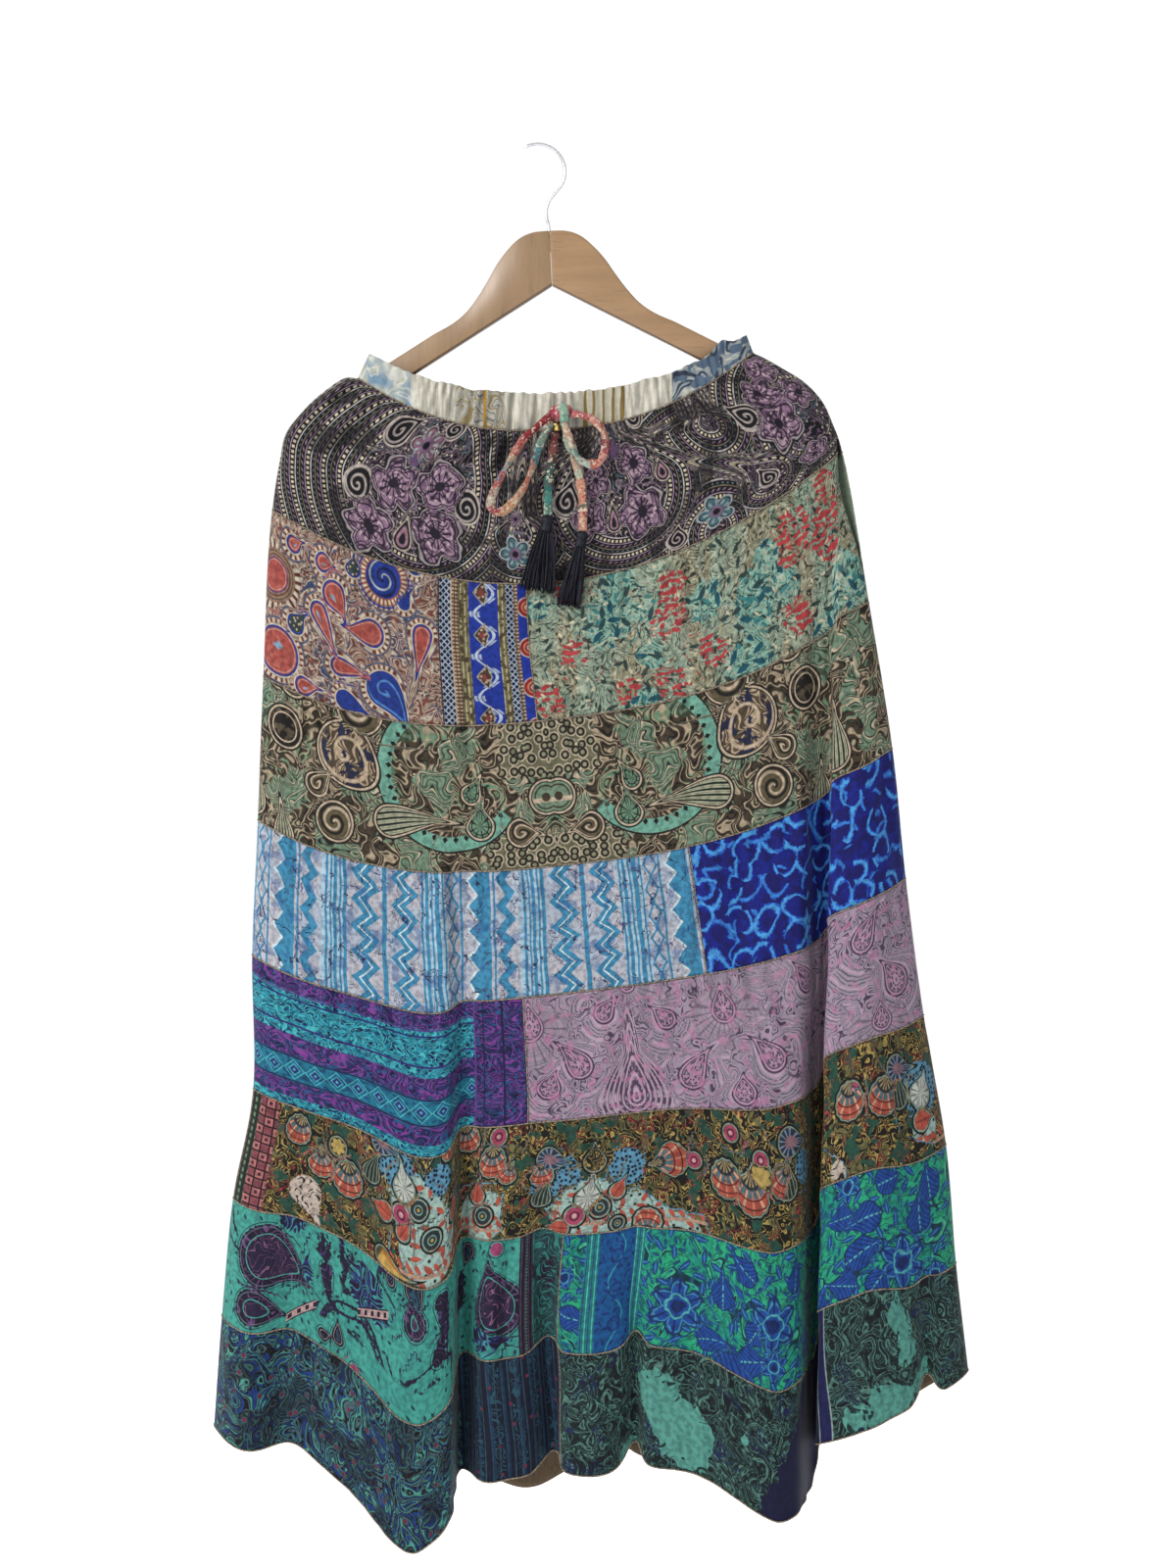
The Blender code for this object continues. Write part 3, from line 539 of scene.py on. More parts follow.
def cloth_surface(shares, levels, front):
    """Points of the whole front or back, level by level: the cut, then along its normals
    the gathers and puckers at every seam, the elastic's creases and the placed creases."""
    base = np.array([cloth_row(shares, level, front) for level in levels])
    normal = np.cross(np.gradient(base, axis=0), np.gradient(base, axis=1))
    normal /= np.linalg.norm(normal, axis=-1, keepdims=True)
    if not front:
        normal = -normal
    tier = np.clip(np.floor(levels + 1e-6), 0, 8)
    part = np.clip(levels - tier, 0, 1)
    out = np.zeros(base.shape[:2])
    sides = np.clip(np.minimum(shares, 1 - shares) * 25, 0, 1)
    for number in range(1, 9):
        inside = (tier == number) & (levels < HEM_LEVEL)
        down = np.where(inside, part, 0)
        fall = down * (1 - down) ** 3 / 0.105
        wide = 14 if number == 1 else 8
        height = 2.8 if number == 1 else 2.2
        coarse = np.sin(2 * math.pi * (wide if front else wide * 0.65) * shares
                        + 0.5 * np.sin(6 * math.pi * shares)) * (0.7 + 0.3 * np.sin(14.5 * shares + 0.8))
        fine = uneven_wave(shares, 34 if front else 26, number * 1.3)
        quick = down * (1 - down) ** 9 / 0.0387
        out += np.outer(fall, coarse * height * sides) + np.outer(quick * inside, fine * 1.5 * sides)
        if front:
            at_seam = np.exp(-((levels - number) / 0.05) ** 2)
            out += np.outer(at_seam, uneven_wave(shares, 74, number * 0.7) * 0.45 * sides)
    hem = np.exp(-((levels - HEM_LEVEL) / 0.03) ** 2)
    out += np.outer(hem, uneven_wave(shares, 40, 2.2) * 0.7 * sides)
    band = np.where(levels < 1, 1, 0) * (0.8 + 0.2 * np.cos(2 * math.pi * levels))
    pleats = 3.4 * np.abs(uneven_wave(shares, 17, 0.9)) + 1.5 * uneven_wave(shares, 43, 1.9)
    calm = np.clip(np.minimum(shares, 1 - shares) * 5, 0.2, 1)
    out += np.outer(band, pleats * sides * calm)
    frill = np.clip(1 - levels * 4, 0, 1)
    rise = 0.7 * uneven_wave(shares, 41, 0.4) + 1.1 * uneven_wave(shares, 9, 2.4)
    base[..., 2] += np.outer(frill, rise * sides * calm)
    if front:
        seen_x, seen_y = photo_place(base)
        for row in CREASES:
            run = math.hypot(row.x1 - row.x0, row.y1 - row.y0)
            dx, dy = (row.x1 - row.x0) / run, (row.y1 - row.y0) / run
            along = ((seen_x - row.x0) * dx + (seen_y - row.y0) * dy) / run
            off = (seen_x - row.x0) * dy - (seen_y - row.y0) * dx
            off = off + 4 * np.sin(5 * along + row.x0)
            fade = np.sin(math.pi * np.clip(along, 0, 1))
            out += 1.8 * row.height * np.exp(-(off / row.width) ** 2) * fade
        puff = np.exp(-((seen_x - PUFF_AT[0]) / 24) ** 2 - ((seen_y - PUFF_AT[1]) / 9) ** 2)
        out += 4.5 * puff * (0.6 + 0.4 * np.sin(seen_x * 0.42))
        rolled = np.exp(-((seen_x - ROLLED_X) / 9) ** 2) * frill[:, None]
        base[..., 2] += 7 * rolled
        out += 3 * rolled
    return base + normal * out[..., None]


def level_rows(in_waistband, in_tier):
    """Levels from the waistband's top to the hem, with so many rows in each tier."""
    tiers = [np.linspace(n, n + 1, in_tier + 1)[1:] for n in range(1, HEM_LEVEL)]
    return np.concatenate([np.linspace(0, 1, in_waistband + 1)] + tiers)


FRONT_SHARES, FRONT_LEVELS = np.linspace(0, 1, 361), level_rows(18, 44)
BACK_SHARES, BACK_LEVELS = np.linspace(0, 1, 181), level_rows(9, 20)
front_cloth = cloth_surface(FRONT_SHARES, FRONT_LEVELS, True)
back_cloth = cloth_surface(BACK_SHARES, BACK_LEVELS, False)
Patch = namedtuple("Patch", "node slot tier share0 share1 front")
# Where the two front patches of a tier meet, in columns of the front's 360.
MEETS = {2: 158, 4: 228, 5: 141, 7: 160, 8: 160}
PATCHES = []
for tier in range(9):
    band = "tier_%d" % tier if tier else "waistband"
    behind = "_cloth"
    if tier in MEETS:
        meet = MEETS[tier] / 360
        PATCHES.append(Patch(band + "_front_left", band + "_left_cloth", tier, 0, meet, True))
        PATCHES.append(Patch(band + "_front_right", band + "_right_cloth", tier, meet, 1, True))
        behind = "_left_cloth" if tier == 8 else "_right_cloth"
    else:
        PATCHES.append(Patch(band + "_front", band + "_cloth", tier, 0, 1, True))
    PATCHES.append(Patch(band + "_back", band + behind, tier, 0, 1, False))


def cut_patch(patch):
    """The patch's own part of the front or back, and its flat place across and down in mm."""
    shares, levels, cloth = BACK_SHARES, BACK_LEVELS, back_cloth
    if patch.front:
        shares, levels, cloth = FRONT_SHARES, FRONT_LEVELS, front_cloth
    columns = np.flatnonzero((shares >= patch.share0 - 1e-9) & (shares <= patch.share1 + 1e-9))
    rows = np.flatnonzero((levels >= patch.tier - 1e-9) & (levels <= patch.tier + 1 + 1e-9))
    points = cloth[np.ix_(rows, columns)]
    full = np.linalg.norm(np.diff(cloth[rows[-1]], axis=0), axis=1).sum()
    deep = np.linalg.norm(np.diff(points, axis=0), axis=-1).sum(0).mean()
    across, down = np.meshgrid(shares[columns] * full, (levels[rows] - patch.tier) * deep)
    return points, across, down


def area_of(points):
    """Area of a grid of points in square metres."""
    d1, d2 = points[1:, 1:] - points[:-1, :-1], points[:-1, 1:] - points[1:, :-1]
    return float(np.linalg.norm(np.cross(d1, d2), axis=-1).sum() / 2) * MM ** 2


# Cloth prints
# Each patch is a different printed rayon. Its design is drawn in flat millimetres of the
# patch, with the large motifs placed where the photograph shows them.
LIGHT_ON_CLOTH = 3.0


def dye(red, green, blue):
    """A colour as the photograph shows it, 0 to 255, turned into the cloth's own colour."""
    return tuple((((c / 255 + 0.055) / 1.055) ** 2.4 if c > 10 else c / 3295) / LIGHT_ON_CLOTH
                 for c in (red, green, blue))


# A motif is a drop, a flower, a spiral or a band's heart: its centre and radius in the
# photograph's pixels, how many radii its tip is away, the way that points, how much the
# tip bends, and the number of the kind of filling that it gets.
Motif = namedtuple("Motif", "x y radius long turn bend kind")
ROUND = (1.0, 90, 0.0)
FAR_AWAY = 9.0


def motifs(**by_kind):
    """Motifs from rows of their columns under each kind's name. A row may leave out long,
    turn and bend, and is then round. The kinds are numbered in their order."""
    return [
        Motif(*row, *ROUND[len(row) - 3:], kind) for kind, rows in enumerate(by_kind.values())
        for row in rows]


def motif_field(points, across, down, table, mirror=None):
    """For each point of a patch, its place inside the nearest motif: (0, 0) at the heart and
    length 1 on the outline, in a frame that bends and tapers with a drop's tip."""
    seen_x, seen_y = photo_place(points)
    best = np.full(across.shape, 1e9)
    found = np.zeros(across.shape + (3,))
    found[..., :2] = FAR_AWAY
    size = np.ones(across.shape)
    if mirror is not None:
        across = -abs(across - across[0, np.argmin(abs(seen_x[len(seen_x) // 2] - mirror))])
    for row in table:
        at = nearest(points, row.x, row.y)
        radius = row.radius * MM_PER_PIXEL
        dx = across - across[at] + (seen_x[at] - row.x) * MM_PER_PIXEL
        dy = down - down[at] + (seen_y[at] - row.y) * MM_PER_PIXEL
        c, s = math.cos(math.radians(row.turn)), math.sin(math.radians(row.turn))
        q, p = (dx * c - dy * s) / radius, (dx * s + dy * c) / radius
        ahead = np.clip(q, 0, None)
        p = p - row.bend * ahead ** 2 / row.long
        slim = np.clip(1 - (ahead / row.long / 1.02) ** 1.5, 0.28, 1) if row.long > 1.3 else 1
        p, q = p / slim, np.where(q > 0, q / row.long, q)
        gap = (np.hypot(p, q) - 1) * radius
        nearer = gap < best
        best = np.where(nearer, gap, best)
        found[nearer] = np.stack([p, q, np.full(p.shape, float(row.kind))], -1)[nearer]
        size[nearer] = radius
    return found, size


Near = namedtuple("Near", "p q kind reach angle size")
TURN = 1 / (2 * math.pi)        # an angle times this is its share of a turn


def parts(field):
    """The three numbers of a vector."""
    made = field.node("ShaderNodeSeparateXYZ", inputs={0: field})
    return [Field(made.socket.node.outputs[k]) for k in range(3)]


def polar(p, q):
    """The distance of a place (p, q) from (0, 0), and the angle at which it lies."""
    return p.math("SQRT", p * p + q * q), q.math("ARCTAN2", q, p)


def near(place, name):
    """The fields of motif_field in a material, with the distance and angle from the heart."""
    p, q, kind = parts(place.vector(name))
    return Near(p, q, kind, *polar(p, q), place.number(name + "_size"))


def joined(x, y):
    return x.node("ShaderNodeCombineXYZ", inputs={0: x, 1: y})


def grain(flat, pitch, detail=2.0, distortion=0.0):
    """Smooth random cloud, about 0.3 to 0.7, whose blots are a pitch in millimetres apart."""
    return flat.node("ShaderNodeTexNoise", {"noise_dimensions": "2D"},
                     {"Vector": flat, "Scale": 1 / pitch, "Detail": detail, "Distortion": distortion})


def curls(flat, pitch, turns=5.0, distortion=0.7, detail=0.6):
    """A sawtooth from 0 to 1 over the contours of a cloud: rows of nested, curling lines."""
    return (grain(flat, pitch, detail, distortion) * turns) % 1.0


def rows(field, pitch):
    """Distance in the field's own units from the middle of the nearest of its rows."""
    return abs((field % pitch) - pitch / 2)


def zigzag(field, pitch):
    """A triangle wave from -1 to 1."""
    return abs(((field / pitch) % 1.0) * 4 - 2) - 1


def scatter(flat, pitch, turned=True, seed=0.0):
    """The nearest of randomly scattered spots, as a Near whose p and q are in millimetres."""
    moved = flat.node(
        "ShaderNodeVectorMath", {"operation": "ADD"}, {0: flat, 1: (seed * 37.1, seed * 11.7, 0)})
    cells = flat.node("ShaderNodeTexVoronoi", {"voronoi_dimensions": "2D"},
                      {"Vector": moved, "Scale": 1 / pitch, "Randomness": 0.8})
    colour, spot = (Field(cells.socket.node.outputs[k]) for k in ("Color", "Position"))
    chance = parts(colour)
    if turned:
        moved = flat.node("ShaderNodeVectorRotate", {"rotation_type": "Z_AXIS"},
                          {"Vector": moved, "Center": spot, "Angle": chance[0] / TURN})
    p, q, _ = parts(flat.node("ShaderNodeVectorMath", {"operation": "SUBTRACT"}, {0: moved, 1: spot}))
    return Near(p, q, chance[1], *polar(p, q), chance[2])


def cell_edges(flat, pitch, wobble):
    """Distance in millimetres from the borders between random cells."""
    shift = joined(grain(flat, pitch * 0.5) * wobble, grain(flat, pitch * 0.4, 1, 1) * wobble)
    spot = flat.node("ShaderNodeVectorMath", {"operation": "ADD"}, {0: flat, 1: shift})
    return flat.node("ShaderNodeTexVoronoi", {"voronoi_dimensions": "2D", "feature": "DISTANCE_TO_EDGE"},
                     {"Vector": spot, "Scale": 1 / pitch}) * pitch


def leaf(spot, long, wide):
    """1 inside a pointed leaf that lies along q in a scatter's own frame."""
    half = (1 - (spot.q / long) * (spot.q / long)) * wide
    return (half - abs(spot.p)).above(0, 0.5)


def flower(reach, angle, petals, depth=0.3):
    """Distance from the edge of a flower of round petals, in radii, negative inside."""
    return reach - (1 - depth) - abs((angle * (petals / 2)).sin()) * depth


def spiral(near_one, turns):
    """Sawtooth along a spiral that winds out from the heart."""
    return (near_one.reach * turns + near_one.angle * TURN) % 1.0


def laid(below, colour, mask):
    """A colour over another where a mask is 1, each a socket or as the photograph shows it."""
    below, colour = (dye(*c) if isinstance(c, tuple) else c for c in (below, colour))
    return over(below, colour, mask)


def paint(ground, *layers):
    """Colours laid one over another, each through its own mask."""
    for mask, colour in layers:
        ground = laid(ground, colour, mask)
    return ground


def kind_is(one, number):
    """1 where the nearest motif is of a kind."""
    return one.kind.line(number, 0.9, 0.1)


# Tier 1
# Near-black rayon with mauve flowers inside large paisley envelopes. Rows of cream
# dots, thin outlines and dashes follow each envelope outwards until they meet.
INK, CREAM, MAUVE = (9, 6, 17), (236, 216, 190), (160, 122, 146)
TIER_1_HEARTS = motifs(
    heart=[(424, 500, 64, 1.2), (634, 497, 50, 1.35), (786, 488, 20, 2.0, 122, -0.2),
        (822, 425, 30, 1.2, 60), (722, 432, 10, 1.5, 80), (733, 540, 14, 1.2), (533, 545, 9, 2.2)])
TIER_1_BLOOMS = motifs(
    flower=[(402, 494, 26), (449, 497, 26), (376, 537, 27), (446, 546, 28), (647, 472, 20), (655, 522, 26),
        (607, 490, 18), (601, 530, 20), (777, 374, 17), (775, 401, 18), (796, 433, 24), (832, 461, 18),
        (815, 400, 15)], whorl=[(364, 494, 15, 1.3, 60), (476, 520, 14, 1.3, 100),
        (407, 439, 15, 1.5, 60, 0.3), (578, 513, 15, 1.5, 80, 0.2), (691, 550, 12, 1.5, 90, 0.2),
        (762, 425, 14, 1.5, 130, 0.2), (785, 488, 12, 1.6, 110, -0.2), (464, 438, 12), (646, 425, 12)],
    drop=[(410, 552, 11, 2.6, 78), (627, 536, 8, 3.2, 88), (676, 482, 9, 1.8, 90, 0.1)],
    pink_star=[(434, 455, 17), (526, 530, 8)], teal_star=[(731, 522, 20), (526, 566, 15, 1.2)],
    bud=[(422, 470, 7, 2.4), (628, 462, 7, 2.4)])


def tier_1_paint(place, flat, u, v):
    heart, bloom = near(place, "grand"), near(place, "small")
    fill = curls(flat, 15, 5, 1.0)
    specks = scatter(flat, 5.5)
    inside = paint(
        INK, (fill.line(0.5, 0.2, 0.08), (160, 142, 146)), (fill.line(0.95, 0.12, 0.06), (112, 84, 108)),
        (specks.reach.under(1.0, 0.4) * grain(flat, 20).above(0.55, 0.04), CREAM),
        (grain(flat, 24, 1).above(0.6, 0.03) * fill.line(0.0, 0.3, 0.1), (84, 124, 126)))
    out = (heart.reach - 1) * heart.size
    ring = (out / 16.5).floor()
    step = out % 16.5
    count = ((heart.size + (ring + 0.4) * 16.5) * 1.55).floor()
    beads = rows(heart.angle * TURN * count, 1.0)
    slant = rows(heart.angle * TURN * count * 0.8 + step * 0.2, 1.0)
    bands = paint(
        INK, (step.line(0.8, 1.2, 0.4), (222, 208, 198)),
        (step.line(4.2, 2.8, 0.4) * beads.under(0.27, 0.12), (248, 230, 190)),
        (step.line(7.2, 0.9, 0.4), (186, 160, 176)),
        (step.line(10.0, 2.0, 0.4) * slant.under(0.20, 0.12), (158, 128, 146)),
        (step.line(12.7, 0.8, 0.4), (150, 134, 104)),
        (step.line(14.7, 1.2, 0.4) * beads.above(0.3, 0.12), (110, 136, 138)))
    bands = laid(bands, INK, grain(flat, 30, 2).above(0.56, 0.04) * 0.7)
    colour = laid(inside, bands, out.above(0, 0.5))
    wavy = bloom.reach + grain(flat, 12, 0) * 0.36 - 0.18
    petals = flower(wavy, bloom.angle, 5, 0.3)
    vein = curls(flat, 14, 4.5, 0.6)
    rays = rows(bloom.angle * 1.75, 1.0)
    is_flower = kind_is(bloom, 0)
    bloom_fill = paint(
        MAUVE, (vein.line(0.5, 0.28, 0.14), (62, 44, 64)), (vein.line(0.9, 0.2, 0.14), (212, 180, 188)),
        (petals.line(-0.15, 0.07, 0.04), (46, 34, 50)),
        (wavy.under(0.5, 0.06) * rays.under(0.16, 0.1), (44, 30, 46)),
        (wavy.under(0.2, 0.06), (34, 26, 40)),
        (wavy.line(0.52, 0.09, 0.05) * rays.above(0.3, 0.1), (228, 196, 196)))
    colour = paint(
        colour, (is_flower * petals.under(0.20, 0.04), INK),
        (is_flower * petals.under(0.11, 0.04), (190, 176, 172)),
        (is_flower * petals.under(0.04, 0.04), INK), (is_flower * petals.under(-0.02, 0.04), bloom_fill))
    wind = spiral(bloom, 2.2)
    whorl = kind_is(bloom, 1) * bloom.reach.under(1.1, 0.05)
    colour = paint(
        colour, (whorl, INK), (whorl * wind.line(0.5, 0.34, 0.12), (200, 184, 172)),
        (kind_is(bloom, 1) * bloom.reach.line(1.02, 0.14, 0.05), (220, 202, 186)))
    drop = kind_is(bloom, 2) * bloom.reach.under(1, 0.05)
    colour = paint(
        colour, (drop, (24, 18, 34)), (drop * bloom.reach.line(0.88, 0.16, 0.05), (214, 194, 172)),
        (drop * bloom.reach.line(0.45, 0.25, 0.1), (186, 140, 150)),
        (kind_is(bloom, 5) * bloom.reach.under(1, 0.08), (112, 82, 116)))
    star = flower(bloom.reach, bloom.angle, 5, 0.5)
    for number, rim, petal in ((3, (190, 176, 166), (150, 104, 118)), (4, (190, 196, 192), (78, 122, 126))):
        shown = kind_is(bloom, number)
        colour = paint(
            colour, (shown * star.under(0.16, 0.05), rim), (shown * star.under(0.04, 0.05), INK),
            (shown * star.under(-0.04, 0.05), petal),
            (shown * rays.under(0.2, 0.1) * bloom.reach.line(0.62, 0.3, 0.1), (176, 186, 184)),
            (shown * bloom.reach.under(0.4, 0.1), (144, 112, 140)),
            (shown * bloom.reach.under(0.22, 0.08), INK))
    return colour


# Tier 2, left
# Sand-coloured rayon with coral drops, cobalt curls and cream ticks, and an upright
# border of chains, dotted stripes and a white vine on cobalt.
SAND, CORAL, COBALT = (188, 152, 128), (192, 84, 72), (34, 62, 148)
TIER_2_LEFT_DROPS = motifs(
    sun=[(281, 586, 15, 1.25, 220)],
    glinting=[(285, 664, 21, 1.3, 190), (341, 607, 12, 1.9, 320, 0.3), (325, 624, 8, 4.8, 306, 0.1),
        (330, 574, 8, 1.5, 0), (310, 700, 8, 2.2, 20, 0.2), (300, 555, 7, 1.6, 40, 0.2)],
    bent=[(379, 646, 12, 2.5, 192, 0.15), (346, 680, 7.5, 4.2, 4, 0.15)],
    spear=[(431, 648, 9, 4.6, 262, 0.05)], rolled=[(391, 590, 23)],
    hooked=[(392, 704, 17, 2.6, 330, 0.6)],
    speckled=[(302, 636, 8, 1.8, 60, 0.2), (424, 577, 8, 1.6, 20), (360, 580, 7, 1.8)],
    cobalt=[(352, 714, 8, 3.2, 350, 0.2), (412, 616, 5, 3.0, 80, 0.3)])


def tier_2_left_paint(place, flat, u, v):
    drop = near(place, "small")
    at = place.number("border")
    lines = curls(flat, 15, 6, 0.9)
    out = (drop.reach - 1) * drop.size
    specks = scatter(flat, 4.4)
    ground = paint(
        SAND, (lines.line(0.5, 0.3, 0.1), (134, 72, 58)), (lines.line(0.95, 0.2, 0.1), (236, 212, 184)),
        (grain(flat, 24).above(0.56, 0.03) * specks.reach.under(1.2, 0.4), (86, 78, 74)),
        (grain(flat, 30, 1).above(0.57, 0.03) * lines.line(0.25, 0.3, 0.1), (64, 84, 116)))
    count = (drop.size * 1.35).floor() + 6
    tick = rows(drop.angle * TURN * count, 1.0)
    coral = paint(
        CORAL, (grain(flat, 7).above(0.56, 0.05) * 0.5, (214, 122, 104)),
        (out.line(-1.6, 0.9, 0.3), (232, 168, 142)))
    near_by = out.under(9, 0.5)
    colour = paint(
        ground, (near_by * out.above(0, 0.3), (184, 128, 104)),
        (near_by * out.line(2.4, 1.2, 0.3), (240, 220, 190)),
        (near_by * out.line(5.2, 3.4, 0.4) * tick.under(0.25, 0.12), (244, 220, 186)),
        (near_by * out.line(5.2, 3.4, 0.4) * tick.above(0.33, 0.12), (112, 56, 46)),
        (near_by * out.line(8.2, 1.3, 0.4), (60, 96, 128)), (out.line(0.6, 2.0, 0.4), COBALT))
    sun = kind_is(drop, 0)
    colour = paint(
        colour, (out.under(-0.2, 0.3), coral),
        (sun * out.above(0.5, 0.3) * out.under(18, 0.5), (170, 128, 100)),
        (sun * out.line(2.5, 1.0, 0.3), (96, 58, 48)), (sun * out.line(5.5, 1.0, 0.3), (100, 88, 76)),
        (sun * out.line(12, 8, 0.4) * tick.under(0.24, 0.12), (246, 226, 196)),
        (sun * out.line(12, 8, 0.4) * tick.above(0.34, 0.1), (104, 44, 36)),
        (sun * out.line(18, 1.6, 0.4), (72, 96, 108)))
    glint = (kind_is(drop, 1) * (abs(drop.p - 0.25) * 1.4 + abs(drop.q)).under(0.28, 0.08))
    coil = spiral(drop, 1.5)
    rolled = kind_is(drop, 4)
    hooked = kind_is(drop, 5) * out.under(0, 0.3)
    small = kind_is(drop, 6) * out.under(0, 0.3)
    colour = paint(
        colour, (glint, (150, 176, 190)), (rolled * drop.reach.under(0.86, 0.04), COBALT),
        (rolled * drop.reach.under(0.8, 0.04) * coil.line(0.5, 0.14, 0.06), (206, 206, 206)),
        (rolled * drop.reach.under(0.8, 0.04) * coil.line(0.95, 0.3, 0.1), (14, 26, 84)),
        (rolled * drop.reach.line(1.02, 0.3, 0.05), (166, 84, 62)),
        (rolled * drop.reach.line(1.02, 0.22, 0.05) * tick.under(0.28, 0.1), (246, 220, 180)),
        (rolled * drop.reach.line(1.24, 0.09, 0.04), COBALT), (hooked, COBALT),
        (hooked * coil.line(0.4, 0.2, 0.08), (96, 150, 210)), (small, (62, 74, 72)),
        (small * specks.reach.under(1.0, 0.4), (226, 196, 154)),
        (kind_is(drop, 7) * out.under(0, 0.3), COBALT))
    lattice = at.math("MINIMUM", rows(at + v * 0.9, 5.6), rows(at - v * 0.9, 5.6))
    chestnut = paint(
        (112, 76, 58), (rows(v, 3.6).under(0.9, 0.4) * rows(at, 3.2).under(1.1, 0.4), (220, 190, 148)))
    chains = paint((18, 28, 58), (lattice.under(0.75, 0.4), (196, 202, 210)))
    olive = paint(
        (138, 122, 76), (rows(at, 4).under(0.6, 0.3), (216, 200, 156)),
        (grain(flat, 6).above(0.55, 0.05), (92, 76, 48)))
    sway = (v * 0.1548).sin() * 9
    pod = abs(at - 44 + sway * 0.3) + rows(v + 10, 40.6) * 0.62
    vine = abs(at - 44 - sway)
    white_vine = paint(
        (26, 56, 160), (vine.under(1.5, 0.5), (216, 222, 232)),
        ((v * 0.46).sin().above(0.4, 0.5) * vine.line(3.6, 2.4, 0.6), (206, 214, 226)),
        (pod.under(7.6, 0.4), (206, 190, 160)), (pod.under(6.6, 0.4), (84, 66, 48)),
        (pod.under(6.2, 0.4) * specks.reach.under(1.3, 0.4), (222, 180, 150)),
        (pod.under(2.6, 0.4), (160, 66, 62)))
    centre = rows(v - 3, 40.6)
    spot, _ = polar(centre, at - 86)
    rounds = paint(
        (26, 56, 168), (spot.under(10.6, 0.5), (226, 202, 184)), (spot.under(9.3, 0.5), (178, 40, 34)),
        (spot.line(5.6, 1.5, 0.4), (232, 150, 116)), (spot.line(2.4, 1.5, 0.4), (240, 206, 176)))
    return paint(
        colour, (at.above(0, 0.5), (84, 56, 48)), (at.above(1.4, 0.5), chains),
        (at.above(12.2, 0.4), (222, 186, 152)), (at.above(13.6, 0.5), chestnut), (at.above(20, 0.5), olive),
        (at.above(29.5, 0.5), white_vine), (at.above(57.5, 0.5), olive), (at.above(65, 0.5), chains),
        (at.above(72.5, 0.5), chestnut), (at.above(76.5, 0.5), rounds))


# Tier 2, right
# Sage rayon under fine dark outlines, with patches of mint and teal leaves and others
# of stacked red marks, all broken up as in an ikat weave.
TIER_2_RIGHT_PATCHES = motifs(
    red=[(581, 602, 15), (686, 595, 16), (682, 628, 20), (806, 537, 20), (839, 491, 14), (843, 522, 16),
        (829, 545, 14), (803, 574, 11), (845, 560, 13), (726, 664, 15), (586, 668, 15), (640, 705, 14),
        (686, 700, 20), (730, 668, 12), (815, 630, 16), (560, 715, 16)],
    mint=[(620, 632, 28), (548, 620, 14), (632, 592, 20), (660, 622, 14), (664, 668, 14), (720, 613, 20),
        (771, 613, 25), (800, 594, 18), (781, 568, 16), (866, 590, 26), (765, 673, 24), (660, 725, 24),
        (845, 640, 18)])


def tier_2_right_paint(place, flat, u, v):
    patch = near(place, "small")
    drawn = curls(flat, 25, 6, 1.1, 1.2)
    thin = curls(flat, 20, 6, 1.2, 1.5)
    broken = grain(flat, 6, 1).above(0.47, 0.05)
    leaves, bits = scatter(flat, 13), scatter(flat, 11, seed=2)
    held = (patch.reach + grain(flat, 9, 1) * 0.9 - 0.45).under(1, 0.12)
    red, mint = held * kind_is(patch, 0), held * kind_is(patch, 1)
    shaky = rows(v + grain(flat, 10, 1) * 9, 7.0) + grain(flat, 3, 1) * 2 - 1
    bars = shaky.under(2.3, 0.3) * grain(joined(u, v * 0.6), 8, 1).above(0.41, 0.03)
    ground = laid((140, 164, 134), (158, 150, 112), grain(joined(u, v * 0.4), 34, 2).above(0.5, 0.08))
    ground = paint(
        ground, (mint, (132, 188, 160)),
        (grain(joined(u, v * 0.3), 26, 1).above(0.6, 0.03) * 0.6, (170, 190, 156)))
    return paint(
        ground, (thin.line(0.5, 0.16, 0.08), (78, 88, 66)),
        (thin.line(0.92, 0.12, 0.06) * 0.7, (190, 196, 160)),
        (drawn.line(0.2, 0.18, 0.06) * broken, (44, 58, 50)),
        (drawn.line(0.7, 0.16, 0.06) * 0.8, (190, 204, 170)),
        (drawn.line(0.45, 0.3, 0.08) * broken * mint, (60, 136, 128)),
        (leaf(leaves, 7.2, 2.6) * leaves.kind.above(0.35, 0.05) * mint, (22, 88, 98)),
        (leaf(leaves, 6.4, 1.8) * leaves.kind.above(0.7, 0.05) * (1 - red), (48, 70, 62)),
        (bars * red, (186, 66, 66)), (leaf(bits, 3.0, 1.1) * bits.kind.above(0.72, 0.05), (222, 214, 168)),
        (leaf(bits, 3.2, 1.1) * bits.kind.under(0.25, 0.05), (44, 54, 46)))


# Tier 3
# Sage rayon printed in olive, black and cream, mirrored about the middle of the front:
# large round paisleys, winged leaves and dense curls between them.
SAGE, OLIVE, BONE = (130, 160, 122), (74, 64, 44), (218, 200, 158)
TIER_3_SHAPES = motifs(
    paisley=[(352, 768, 29, 1.25, 300, -0.2)], blotch=[(290, 742, 18)],
    wing=[(398, 838, 14, 4.2, 15, 0.2), (262, 815, 13, 3.5, 95), (290, 850, 9, 3, 100)],
    curled=[(341, 839, 17, 1.2, 60), (323, 800, 10, 2.2, 60, 0.3), (367, 722, 24), (300, 690, 16),
        (532, 850, 12, 1.6, 10, 0.3)],
    veined=[(481, 811, 8, 2.2, 60), (490, 843, 12, 1.7, 100, 0.3), (515, 715, 13)], bowl=[(569, 812, 15)])


